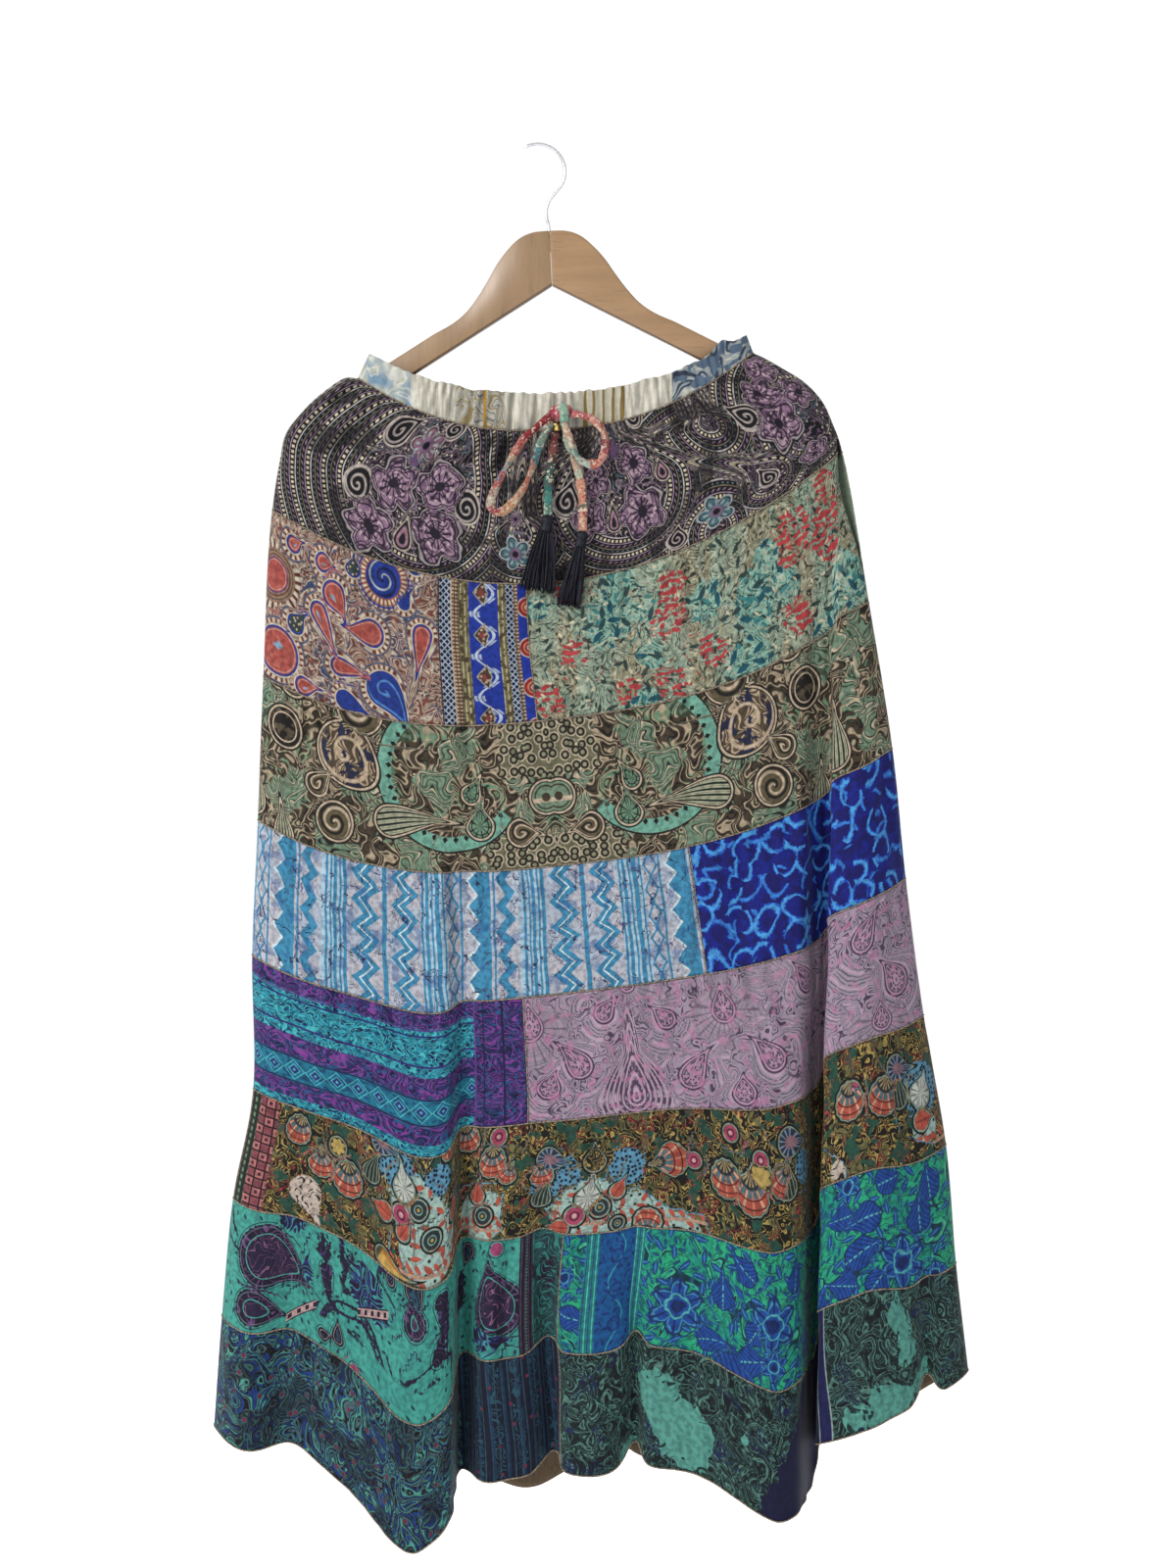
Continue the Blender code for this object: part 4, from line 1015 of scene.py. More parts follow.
def tier_3_paint(place, flat, u, v):
    mirrored = place.vector("mirrored")
    shape = near(place, "small")
    fine = curls(mirrored, 18, 6, 0.9)
    wide = curls(mirrored, 22, 5.5, 0.8)
    u1, _, _ = parts(mirrored)
    rings = scatter(mirrored, 9.5, False)
    dense = paint(
        OLIVE, (fine.line(0.5, 0.30, 0.1), (196, 180, 138)), (fine.line(0.0, 0.34, 0.1), (26, 24, 18)),
        (grain(mirrored, 20).above(0.57, 0.04) * fine.line(0.25, 0.3, 0.1), (120, 156, 112)))
    ringed = paint(
        (120, 120, 84), (rings.reach.line(3.0, 1.6, 0.4), (34, 30, 24)),
        (rings.reach.under(1.6, 0.4), (166, 168, 126)), (rings.reach.line(4.8, 1.1, 0.4), (214, 200, 158)))
    ground = paint(
        SAGE, (grain(mirrored, 9).above(0.55, 0.1) * 0.4, (100, 134, 94)),
        (wide.line(0.5, 0.18, 0.06), BONE), (wide.line(0.66, 0.14, 0.05), (36, 32, 26)),
        (wide.line(0.1, 0.16, 0.06), (70, 84, 58)))
    ground = laid(ground, dense, grain(mirrored, 38, 1).above(0.44, 0.02))
    side = abs(u1)
    middle = v.math("MAXIMUM", side.under(46, 2) * v.under(50, 2), side.under(62, 2) * v.above(100, 2))
    ground = laid(ground, ringed, middle)
    across, down = side - 95, v - 44
    far, turn = polar(across, down)
    strip = far.line(62, 13, 0.6) * (across + down).above(-14, 3)
    ground = paint(
        ground, (strip, (126, 190, 154)),
        (far.line(69.5, 1.6, 0.4) * (across + down).above(-14, 3), (30, 28, 22)),
        (strip * (abs(rows(turn, 0.17)) * 62 + abs(far - 58) * 0.8).under(2.6, 0.5), (26, 26, 20)))
    out = (shape.reach - 1) * shape.size
    veins = rows(shape.angle * 1.6, 1.0)
    filled = paint(
        (92, 78, 54), (fine.line(0.5, 0.36, 0.12), (206, 186, 142)),
        (grain(mirrored, 14).above(0.54, 0.03), (36, 42, 66)),
        (spiral(shape, 1.6).line(0.5, 0.18, 0.08), (216, 196, 152)))
    wing = paint(
        (116, 158, 116), (rows(shape.p, 0.42).under(0.07, 0.05), (26, 28, 22)),
        (rows(shape.p, 0.42).line(0.14, 0.07, 0.04), BONE))
    blotch = paint(
        (30, 27, 22), (grain(mirrored, 8).above(0.55, 0.05), (96, 86, 62)), (out.line(-3.5, 1.3, 0.4), BONE))
    curled = paint(
        (104, 94, 62), (spiral(shape, 1.5).line(0.5, 0.24, 0.08), BONE),
        (spiral(shape, 1.5).line(0.85, 0.25, 0.08), (34, 30, 24)))
    inner = paint(
        (120, 160, 120), (veins.under(0.12, 0.06), (30, 34, 26)), (out.line(-2.5, 1.1, 0.4), (30, 34, 26)))
    bowl = paint(
        SAGE, (out.line(-3, 1.6, 0.4), OLIVE), (shape.q.line(-0.2, 0.3, 0.1), BONE),
        (shape.reach.under(0.3, 0.05), OLIVE))
    ground = paint(
        ground, (out.line(3.4, 1.6, 0.4), (30, 26, 20)), (out.line(1.6, 1.8, 0.5), BONE),
        (out.line(0.1, 1.4, 0.3), (30, 26, 20)))
    for number, fill in enumerate([filled, blotch, wing, curled, inner, bowl]):
        ground = laid(ground, fill, out.under(-0.2, 0.3) * kind_is(shape, number))
    return ground


# Tier 4, left
# Pale pinkish grey rayon with upright sky-blue stripes and zigzags and white chevrons.
# A fine dark crackle, as of wax resist, runs over it.
PALE, SKY = (210, 198, 206), (70, 146, 186)
Chevron = namedtuple("Chevron", "at reach width core")
CHEVRONS = [
    Chevron(37.5, 4.8, 9.5, 0), Chevron(93, 6.4, 15.5, 2.0), Chevron(131, 6.2, 14, 2.0),
    Chevron(175, 3.4, 2.4, 0), Chevron(180, -3.4, 2.4, 0)]
STRIPES = [
    (26.5, 2.0), (55, 2.4), (59.5, 1.6), (63.5, 3.2), (68.5, 1.8), (73, 3.4), (111.5, 4.4), (148, 2.0),
    (152.5, 3.2), (157.5, 1.8), (162.5, 4.2), (168, 1.6), (186, 2.2)]


def tier_4_left_paint(place, flat, u, v):
    drift = grain(flat, 30, 1) * 3 - 1.5
    at = (place.number("border") + drift) % 191.0
    colour = laid(PALE, (178, 188, 210), grain(flat, 40, 2).above(0.5, 0.2) * 0.6)
    wave = zigzag(v + grain(flat, 20, 1) * 6, 23.0)
    edge = at - 6 - wave * 5
    colour = paint(
        colour, ((at - 61).line(0, 24, 0.5) + (at - 158).line(0, 24, 0.5), (190, 208, 226)),
        (edge.above(0, 0.5) * at.under(23, 0.5), SKY), (edge.line(0, 2.6, 0.5), (232, 236, 240)))
    for stripe, width in STRIPES:
        colour = laid(colour, SKY, at.line(stripe, width, 0.5))
    for one in CHEVRONS:
        off = abs(at - one.at - wave * one.reach)
        colour = laid(colour, SKY, off.under(one.width / 2, 0.5))
        if one.core:
            colour = laid(colour, (236, 238, 240), off.under(one.core / 2, 0.4))
    colour = laid(colour, (44, 96, 160), grain(flat, 14, 3).above(0.6, 0.05) * 0.5)
    crack = cell_edges(flat, 32, 26)
    return paint(
        colour, (crack.under(0.5, 0.3) * grain(flat, 18).above(0.46, 0.05), (44, 44, 84)),
        (cell_edges(flat, 16, 12).under(0.4, 0.3) * grain(flat, 26).above(0.54, 0.05), (84, 82, 124)))


# Tier 4, right
# Royal blue rayon with light-blue squiggles whose edges are fringed.
def tier_4_right_paint(place, flat, u, v):
    spots, others = scatter(joined(u, v * 0.85), 27, False), scatter(flat, 34, False, seed=3)
    fringe = (grain(flat, 2.4, 0) - 0.5) * 2.4
    one = abs(spots.reach + grain(flat, 24, 0) * 13 - 16.5) + fringe
    two = abs(others.reach + grain(flat, 26, 0) * 18 - 22) + fringe
    gaps, parted = grain(flat, 17, 0).above(0.40, 0.02), grain(flat, 22, 0, 0.3).above(0.47, 0.02)
    squiggle = one.under(2.3, 0.5) * gaps
    other = two.under(2.0, 0.5) * parted
    return paint(
        (24, 20, 112), (grain(flat, 14, 2).above(0.52, 0.1), (22, 30, 140)), (other, (50, 100, 208)),
        (two.under(1.0, 0.5) * parted, (80, 140, 226)), (squiggle, (44, 96, 210)),
        (one.under(1.3, 0.5) * gaps, (104, 170, 240)))


# Tier 5, left
# Turquoise rayon in level bands between purple ones with magenta scrolls, and one
# purple upright band at its right end.
TURQUOISE, PURPLE = (40, 148, 166), (66, 36, 104)


def tier_5_left_paint(place, flat, u, v):
    sway = v + grain(flat, 60, 0) * 4
    fine = curls(joined(u, v * 1.8), 15, 5, 0.8)
    scroll = curls(joined(u, v * 1.6), 20, 5, 1.2)
    purple = paint(
        PURPLE, (scroll.line(0.5, 0.26, 0.1), (164, 70, 160)), (scroll.line(0.0, 0.3, 0.1), (24, 20, 62)),
        (fine.line(0.2, 0.2, 0.1), (40, 96, 140)))
    brush = grain(joined(u, v * 2.4), 10, 2)
    teal = paint(
        TURQUOISE, (brush.above(0.54, 0.05), (14, 84, 118)),
        (grain(joined(u, v * 2), 8, 1).above(0.6, 0.04), (26, 32, 88)),
        (fine.line(0.4, 0.24, 0.1), (90, 208, 204)),
        (rows(u + zigzag(v, 8) * 3, 10).under(0.7, 0.5) * 0.7, (90, 196, 200)))
    away = rows(u, 21) * 0.9 + abs(sway - 85)
    diamonds = paint(
        (34, 128, 152), (brush.above(0.56, 0.04), (22, 88, 124)), (away.under(4.6, 0.4), (52, 52, 128)),
        (away.line(9, 1.1, 0.4), (104, 206, 208)), (away.line(5, 1.0, 0.4), (104, 206, 208)),
        (away.under(1.5, 0.4), (104, 206, 208)))
    level = paint(
        purple, (sway.above(16, 0.8), teal), (sway.line(22, 1.6, 0.5), (44, 46, 120)),
        (sway.line(46, 1.8, 0.5), (60, 44, 120)), (sway.above(55, 0.8), purple),
        (sway.above(73, 0.8), diamonds), (sway.above(97, 0.8), purple), (sway.above(112, 0.8), teal),
        (sway.line(17, 1.2, 0.4), (110, 60, 150)), (sway.line(74, 1.4, 0.4), (36, 30, 80)),
        (sway.line(96, 1.4, 0.4), (36, 30, 80)))
    at = place.number("border")
    return paint(
        level, (at.above(0, 0.5), purple), (at.line(1, 1.2, 0.5), (140, 80, 160)),
        (at.line(10, 1.2, 0.5), (30, 26, 70)), (at.line(29, 2.0, 0.5), (30, 26, 70)))


# Tier 5, right
# Dusty mauve rayon covered with fine plum and grey lines that run round drops,
# lilies and dotted fans.
TIER_5_HEARTS = motifs(
    drop=[(592, 1088, 14, 2.6, 115, -0.3), (706, 1098, 14, 2.6, 65, 0.3), (790, 1080, 13, 2.4, 115, -0.3),
        (822, 1000, 12, 2.0, 110, -0.2), (616, 1034, 11, 2.0, 60, 0.3), (680, 1040, 11, 2.0, 120, -0.3),
        (560, 1110, 13, 1.4, 80, 0.3), (760, 1115, 13, 1.4, 100, 0.3), (880, 960, 13, 2.6, 65, 0.3),
        (915, 1000, 15, 2.0, 110, -0.3)],
    lily=[(540, 1049, 16, 1.8), (738, 1030, 14, 1.9), (900, 1040, 12, 1.6), (640, 1005, 9, 1.6)],
    fan=[(650, 1120, 20, 3.0)])


def tier_5_right_paint(place, flat, u, v):
    heart = near(place, "small")
    out = (heart.reach - 1) * heart.size
    shaky = out + grain(flat, 12, 1) * 4
    nested = rows(shaky, 3.2)
    fine = curls(flat, 13, 6.5, 0.9)
    beads = rows(heart.angle * (heart.size * 0.4).floor() * 0.32, 1.0)
    region = grain(flat, 26, 1).above(0.5, 0.03)
    plum, grey = (92, 66, 94), (112, 104, 118)
    colour = paint(
        (190, 160, 182), (grain(flat, 40, 2).above(0.5, 0.2) * 0.5, (168, 148, 168)),
        (fine.line(0.5, 0.3, 0.14) * region, plum), (nested.under(0.6, 0.35) * (1 - region), grey),
        (fine.line(0.98, 0.16, 0.1), (224, 166, 204)),
        (rows(shaky + 2.2, 13.2).under(1.0, 0.4) * (1 - region), (222, 176, 202)),
        (out.line(0, 1.6, 0.5), (84, 54, 84)), (out.line(-3.4, 1.0, 0.4), plum),
        (out.line(-1.7, 1.0, 0.4), (226, 156, 196)))
    inner = out.under(-4.2, 0.4)
    colour = paint(
        colour, (inner * rows(out, 3.6).under(0.7, 0.3), plum),
        (inner * beads.under(0.2, 0.1), (214, 148, 184)))
    fan = kind_is(heart, 2) * out.under(16, 0.5)
    spokes = kind_is(heart, 1) * out.above(0, 0.4) * out.under(22, 2)
    colour = paint(
        colour, (fan * rows(out, 5).under(1.2, 0.4) * beads.under(0.3, 0.15), plum),
        (fan * rows(out - 2.5, 5).under(0.6, 0.3), (222, 176, 200)), (spokes * 0.6, (186, 156, 176)),
        (spokes * rows(heart.angle * 3.8, 1.0).under(0.12, 0.1) * 0.6, plum))
    return laid(colour, (220, 140, 184), grain(flat, 9, 2).above(0.61, 0.05) * 0.6)


# Tier 6
# Rayon with fields of mustard speckle on black, blue dots and pale mint, and on them
# coral shells, fans, round flowers and a row of coral dashes above the lower seam.
MUSTARD, SHELL, MINT = (206, 170, 92), (200, 92, 70), (182, 206, 188)
TIER_6_FIELDS = motifs(
    speckled=[(330, 1160, 30), (365, 1240, 22), (436, 1178, 14), (490, 1170, 28), (545, 1165, 20),
        (525, 1235, 14), (545, 1265, 16), (605, 1180, 18), (690, 1195, 32), (760, 1190, 30),
        (765, 1255, 30), (820, 1250, 20), (875, 1120, 24), (880, 1180, 26), (935, 1185, 16)],
    dotted=[(402, 1188, 17), (448, 1205, 12), (556, 1210, 12), (580, 1195, 12), (640, 1190, 15),
        (820, 1190, 12), (940, 1110, 18)],
    pale=[(425, 1235, 24), (440, 1275, 28), (490, 1240, 22), (600, 1240, 30), (650, 1250, 30),
        (690, 1265, 22), (945, 1150, 12)],
    dashed=[(312, 1215, 16, 2.2, 300), (750, 1286, 14, 2, 0), (858, 1194, 10, 1.6, 300)])
TIER_6_FIGURES = motifs(
    shell=[(305, 1154, 13, 1.3, 80), (328, 1187, 14, 1.4, 95), (355, 1206, 16, 1.3, 95),
        (479, 1162, 13, 1.3, 110), (502, 1188, 14, 1.3), (553, 1199, 12, 1.5, 100), (518, 1199, 9, 1.5, 70),
        (685, 1183, 17, 1.4, 190), (741, 1206, 15, 1.3), (768, 1222, 16, 1.3, 92), (799, 1207, 13, 1.4, 60),
        (867, 1126, 15, 1.3, 85), (901, 1121, 15, 1.3, 70), (455, 1168, 10, 1.4, 120),
        (661, 1246, 13, 1.2, 270)], fan=[(389, 1165, 11, 1.9, 350), (560, 1183, 12, 1.9, 350),
        (806, 1166, 12, 1.9, 350), (915, 1090, 11, 1.9, 350)],
    bloom=[(409, 1240, 9), (586, 1241, 9), (509, 1160, 8), (708, 1184, 7), (745, 1156, 7), (776, 1184, 7),
        (870, 1112, 7)], dark_bloom=[(427, 1235, 9), (441, 1266, 9), (492, 1241, 9), (612, 1232, 9),
        (630, 1248, 6)], tulip=[(392, 1235, 9, 1.7, 170), (462, 1232, 9, 2.0, 100), (487, 1220, 8, 2.0, 95),
        (571, 1253, 8, 1.7, 190), (942, 1143, 9, 1.4, 0), (411, 1258, 7, 2.0, 60), (630, 1215, 7, 2.2, 60),
        (640, 1272, 6, 1.8, 100)], crescent=[(390, 1282, 8, 4.0, 335, -0.25)],
    green_fan=[(691, 1265, 9)], banded=[(379, 1197, 9, 2.2, 85, 0.25), (552, 1222, 9, 2.2, 85, 0.25),
        (805, 1213, 9, 2.4, 95, 0.25), (917, 1120, 9, 2.4, 95, 0.25)],
    star=[(776, 1202, 12), (345, 1170, 9)],
    petal=[(412, 1212, 12, 1.8, 100), (600, 1222, 12, 1.6, 80), (940, 1115, 12, 1.5, 60)],
    cone=[(607, 1184, 11, 1.5), (432, 1180, 10, 1.6, 270)])


def tier_6_paint(place, flat, u, v):
    ground, figure = near(place, "grand"), near(place, "small")
    speck = curls(flat, 9.5, 4.5, 1.0, 1.0)
    dash = curls(flat, 13, 4.5, 0.6, 0.6)
    dots = scatter(flat, 4.6, False)
    speckled = paint(
        (20, 20, 14), (speck.line(0.5, 0.26, 0.1), MUSTARD),
        (grain(flat, 16, 1).above(0.57, 0.03) * speck.line(0.5, 0.5, 0.2), (128, 118, 70)),
        (grain(flat, 15, 1).above(0.60, 0.03), (40, 84, 66)),
        (speck.line(0.95, 0.16, 0.06) * grain(flat, 18).above(0.55, 0.04), (190, 70, 70)))
    dotted = laid((104, 160, 184), (18, 28, 48), dots.reach.under(1.4, 0.4))
    pale = paint(
        MINT, (scatter(flat, 13, seed=5).reach.under(1.5, 0.4), (34, 44, 42)),
        (dash.line(0.5, 0.14, 0.06) * grain(flat, 12).above(0.52, 0.03), (80, 100, 92)),
        (leaf(scatter(flat, 15, seed=7), 6, 2.4), SHELL))
    dashed = laid(
        (226, 200, 178), (30, 24, 24), dash.line(0.5, 0.36, 0.12) * grain(flat, 6, 1).above(0.46, 0.08))
    colour = paint(
        speckled, (kind_is(ground, 1) * ground.reach.under(1.35, 0.1), dotted),
        (kind_is(ground, 2) * ground.reach.under(1.3, 0.1), pale),
        (kind_is(ground, 3) * ground.reach.under(1.15, 0.1), dashed))
    below = 103 - v
    row = leaf(Near(u % 9.0 - 4.5 + (below - 9) * 0.5, below - 9, *[below] * 4), 4.6, 2.6)
    colour = paint(
        colour, (row * kind_is(ground, 2), SHELL),
        ((below - 3).line(0, 3, 0.5) * kind_is(ground, 2), (208, 160, 130)))
    rib = rows(figure.angle * 2.07, 1.0)
    out = (figure.reach + kind_is(figure, 0) * rib * 0.14 - 1.04) * figure.size
    inside = out.under(0, 0.4)
    hinge = figure.q - 1.05
    spread, swing = polar(hinge, figure.p)
    fold = rows(swing * 2.2, 1.0)
    shell = paint(
        SHELL, (fold.above(0.38, 0.1), (232, 178, 142)),
        (rows(spread, 0.5).under(0.05, 0.04), (110, 40, 34)),
        (spread.under(1.15, 0.1) * fold.under(0.3, 0.1), (84, 120, 122)),
        (spread.under(0.75, 0.1), (34, 44, 52)),
        (spread.under(0.62, 0.08) * fold.under(0.25, 0.1), (190, 160, 110)))
    fan = paint(
        (52, 56, 70), (rib.under(0.16, 0.1), (136, 160, 180)),
        (figure.reach.under(0.5, 0.1) * rib.above(0.3, 0.1), SHELL))
    bloom = paint(
        (190, 74, 104), (figure.reach.line(0.5, 0.16, 0.08), (60, 30, 40)),
        (figure.reach.under(0.28, 0.08), (232, 180, 170)))
    dark = paint(
        (40, 54, 54), (figure.reach.line(0.5, 0.14, 0.08), (150, 180, 160)),
        (figure.reach.under(0.2, 0.08), (196, 160, 80)))
    tulip = laid(SHELL, (160, 60, 50), (figure.p * 3).line(0, 0.7, 0.3))
    crescent = paint(
        (226, 176, 88), ((figure.p + 0.35).under(0, 0.3), (190, 120, 50)),
        ((figure.q + 0.4).under(0, 0.3), (84, 84, 44)))
    green = laid((74, 140, 110), (30, 56, 50), rib.under(0.2, 0.1))
    bands = laid((44, 50, 44), (136, 150, 126), rows(figure.p, 0.5).under(0.07, 0.05))
    petal = laid((216, 214, 196), (90, 84, 76), rib.under(0.10, 0.06))
    cone = laid((40, 38, 28), MUSTARD, speck.line(0.5, 0.2, 0.1))
    colour = paint(
        colour, (out.line(2.6, 2.0, 0.4), (16, 24, 24)), (out.line(1.0, 1.1, 0.4), (150, 164, 140)),
        (inside, shell))
    star = flower(figure.reach, figure.angle, 7, 0.3)
    round_star = laid(MUSTARD, (60, 54, 30), star.above(0, 0.1))
    fills = [shell, fan, bloom, dark, tulip, crescent, green, bands, round_star, petal, cone]
    for number in range(1, len(fills)):
        colour = laid(colour, fills[number], inside * kind_is(figure, number))
    at = place.number("border")
    squares = rows(u + 4.8, 9.6).above(0.8, 0.4) * rows(v + 4.4, 8.8).above(0.8, 0.4)
    odd = u.math("PINGPONG", (u / 9.6).floor() + (v / 8.8).floor(), 1.0)
    check = paint(
        (28, 18, 20), (squares, (150, 76, 82)), (squares * odd, (206, 122, 118)),
        (odd * rows(u, 9.6).under(1.6, 0.4) * rows(v, 8.8).under(1.6, 0.4), (70, 36, 40)))
    stripes = paint(
        (28, 26, 24), (rows(at, 7.5).under(1.5, 0.4), (120, 150, 110)),
        ((rows(v, 7).under(1.6, 0.5) * rows(at, 7.5).under(2.4, 0.4)), (40, 56, 44)))
    return paint(
        colour, (at.under(40, 0.5), check), (at.under(18, 0.5), stripes), (at.under(4, 0.5), (150, 96, 84)))


# Tier 7, left
# Turquoise rayon with navy and violet paisleys, dark leaf sprays, a checked ribbon
# and small scattered sprigs.
TEAL, NAVY = (70, 188, 170), (26, 22, 50)
TIER_7_LEFT_FIGURES = motifs(
    paisley=[(272, 1282, 33, 1.7, 350, 0.3), (256, 1335, 19, 2.2, 350, 0.1), (506, 1336, 31, 1.6, 120, 0.3),
        (423, 1354, 14, 2.4, 110, 0.4)],
    stalk=[(333, 1296, 8, 5.5, 275, -0.2), (452, 1330, 10, 5.0, 285, 0.1),
        (448, 1385, 9, 3.4, 80, 0.1)],
    cluster=[(374, 1318, 25), (300, 1242, 17), (312, 1300, 10, 2.4, 85), (490, 1368, 16, 2.0, 10, 0.2),
        (385, 1345, 8, 3, 10)], simple=[(398, 1306, 8, 2.6, 100, 0.4), (345, 1365, 8, 2.6),
        (330, 1362, 7, 1.5, 20), (422, 1318, 12, 2.4, 300, 0.3), (478, 1276, 10, 1.8, 250),
        (560, 1299, 13, 1.5, 100, 0.3)], dot=[(507, 1275, 7), (362, 1400, 7)])


def tier_7_left_paint(place, flat, u, v):
    figure = near(place, "small")
    out = (figure.reach - 1) * figure.size
    fine = curls(flat, 17, 5.5, 0.9)
    sprig = scatter(flat, 12, seed=4)
    spray = curls(flat, 64, 3.2, 1.0, 0.4)
    frond = abs(spray - 0.5) + (grain(flat, 3.6, 1) - 0.5) * 0.34
    kept = grain(flat, 62, 0).above(0.5, 0.015) * frond.under(0.15, 0.04) * v.under(80, 3)
    colour = paint(
        TEAL, (grain(flat, 40, 1).above(0.5, 0.2) * 0.4, (50, 158, 148)), (kept, NAVY),
        (kept * fine.line(0.5, 0.12, 0.08), (74, 66, 128)),
        (leaf(sprig, 2.8, 1.3) * sprig.kind.above(0.45, 0.05), (34, 70, 88)))
    edge = out + grain(flat, 3, 1) * 3 - 1.5
    paisley = paint(
        NAVY, (fine.line(0.5, 0.22, 0.1), (112, 86, 140)), (out.line(-2.6, 0.9, 0.4), (96, 128, 140)),
        (out.under(-9, 0.5), (40, 34, 70)), (out.line(-9, 1.0, 0.4), TEAL),
        (out.under(-9, 0.5) * fine.line(0.0, 0.18, 0.1), (150, 116, 150)))
    stalk = paint(NAVY, (fine.line(0.5, 0.14, 0.08), (84, 76, 132)))
    cluster = paint((46, 60, 140), (fine.line(0.5, 0.4, 0.15), NAVY), (fine.line(0.1, 0.2, 0.1), TEAL))
    simple = paint(
        NAVY, (out.line(-2.2, 0.8, 0.4), (150, 150, 150)),
        (out.under(-4, 0.4) * fine.above(0.5, 0.1), (40, 90, 110)))
    colour = paint(colour, (out.line(1.8, 0.8, 0.3) * (1 - kind_is(figure, 2)), NAVY))
    colour = paint(
        colour, (edge.under(0, 0.5) * kind_is(figure, 0), paisley),
        ((edge + grain(flat, 4, 1) * 6 - 3).under(0, 0.5) * kind_is(figure, 1), stalk),
        ((out + fine * 6 - 3).under(0, 0.5) * kind_is(figure, 2), cluster),
        (out.under(0, 0.4) * kind_is(figure, 3), simple),
        (out.under(0, 0.4) * kind_is(figure, 4), (170, 84, 130)))
    at = place.number("border")
    for slope, across, first, last in ((0.85, 167, 82, 112), (0.5, 135, 160, 200)):
        ribbon = abs(v + u * slope - across)
        checks = paint(
            NAVY, (ribbon.under(3.4, 0.4), (196, 184, 176)),
            (rows(u, 8.5).above(2.4, 0.3) * ribbon.under(2.2, 0.3), NAVY))
        colour = laid(colour, checks, ribbon.under(4.6, 0.4) * u.above(first, 1) * u.under(last, 1))
    colour = paint(
        colour, (at.above(17, 1) * 0.85, NAVY), (at.above(17, 1) * fine.line(0.5, 0.24, 0.1), (52, 150, 140)))
    stripe = paint(
        (30, 26, 50), (rows(at, 4.2).under(0.45, 0.3), (96, 88, 110)),
        (at.line(8, 2, 0.4) * rows(v, 3).under(0.9, 0.4), (90, 140, 140)))
    return laid(colour, stripe, at.above(0, 0.5) * at.under(16, 0.5))


# Tier 7, right
# Aqua rayon with royal-blue flowers and leaves that have darker outlines and lighter
# veins, and one blue border with a vine between lined edges.
AQUA, ROYAL = (52, 172, 146), (36, 76, 180)
TIER_7_RIGHT_FIGURES = motifs(
    flower=[(691, 1333, 29), (789, 1354, 25), (790, 1396, 14), (668, 1392, 19), (578, 1392, 13, 1.4, 30),
        (575, 1305, 13, 1.4, 60), (921, 1288, 27), (865, 1212, 16), (955, 1300, 15)],
    blade=[(765, 1390, 14, 1.6, 20), (748, 1405, 22, 1.6, 350, 0.2), (738, 1322, 13, 1.9, 95),
        (812, 1306, 11, 2.0, 80), (722, 1366, 12, 2.2, 20, 0.2), (580, 1345, 13, 1.8, 350),
        (771, 1361, 12, 1.8, 60), (762, 1300, 12, 2.0, 150, 0.2), (822, 1372, 11, 1.8, 100),
        (884, 1242, 16, 1.5, 190), (858, 1244, 12, 1.6, 180), (878, 1278, 17, 1.5, 20),
        (938, 1242, 15, 1.9, 95, 0.2), (905, 1205, 13, 1.5, 20), (948, 1210, 15, 1.6, 95),
        (862, 1312, 13, 1.7, 160), (895, 1308, 13, 1.6, 50), (632, 1350, 14, 1.6, 70),
        (640, 1300, 12, 1.6, 120), (836, 1330, 11, 1.6, 60)])


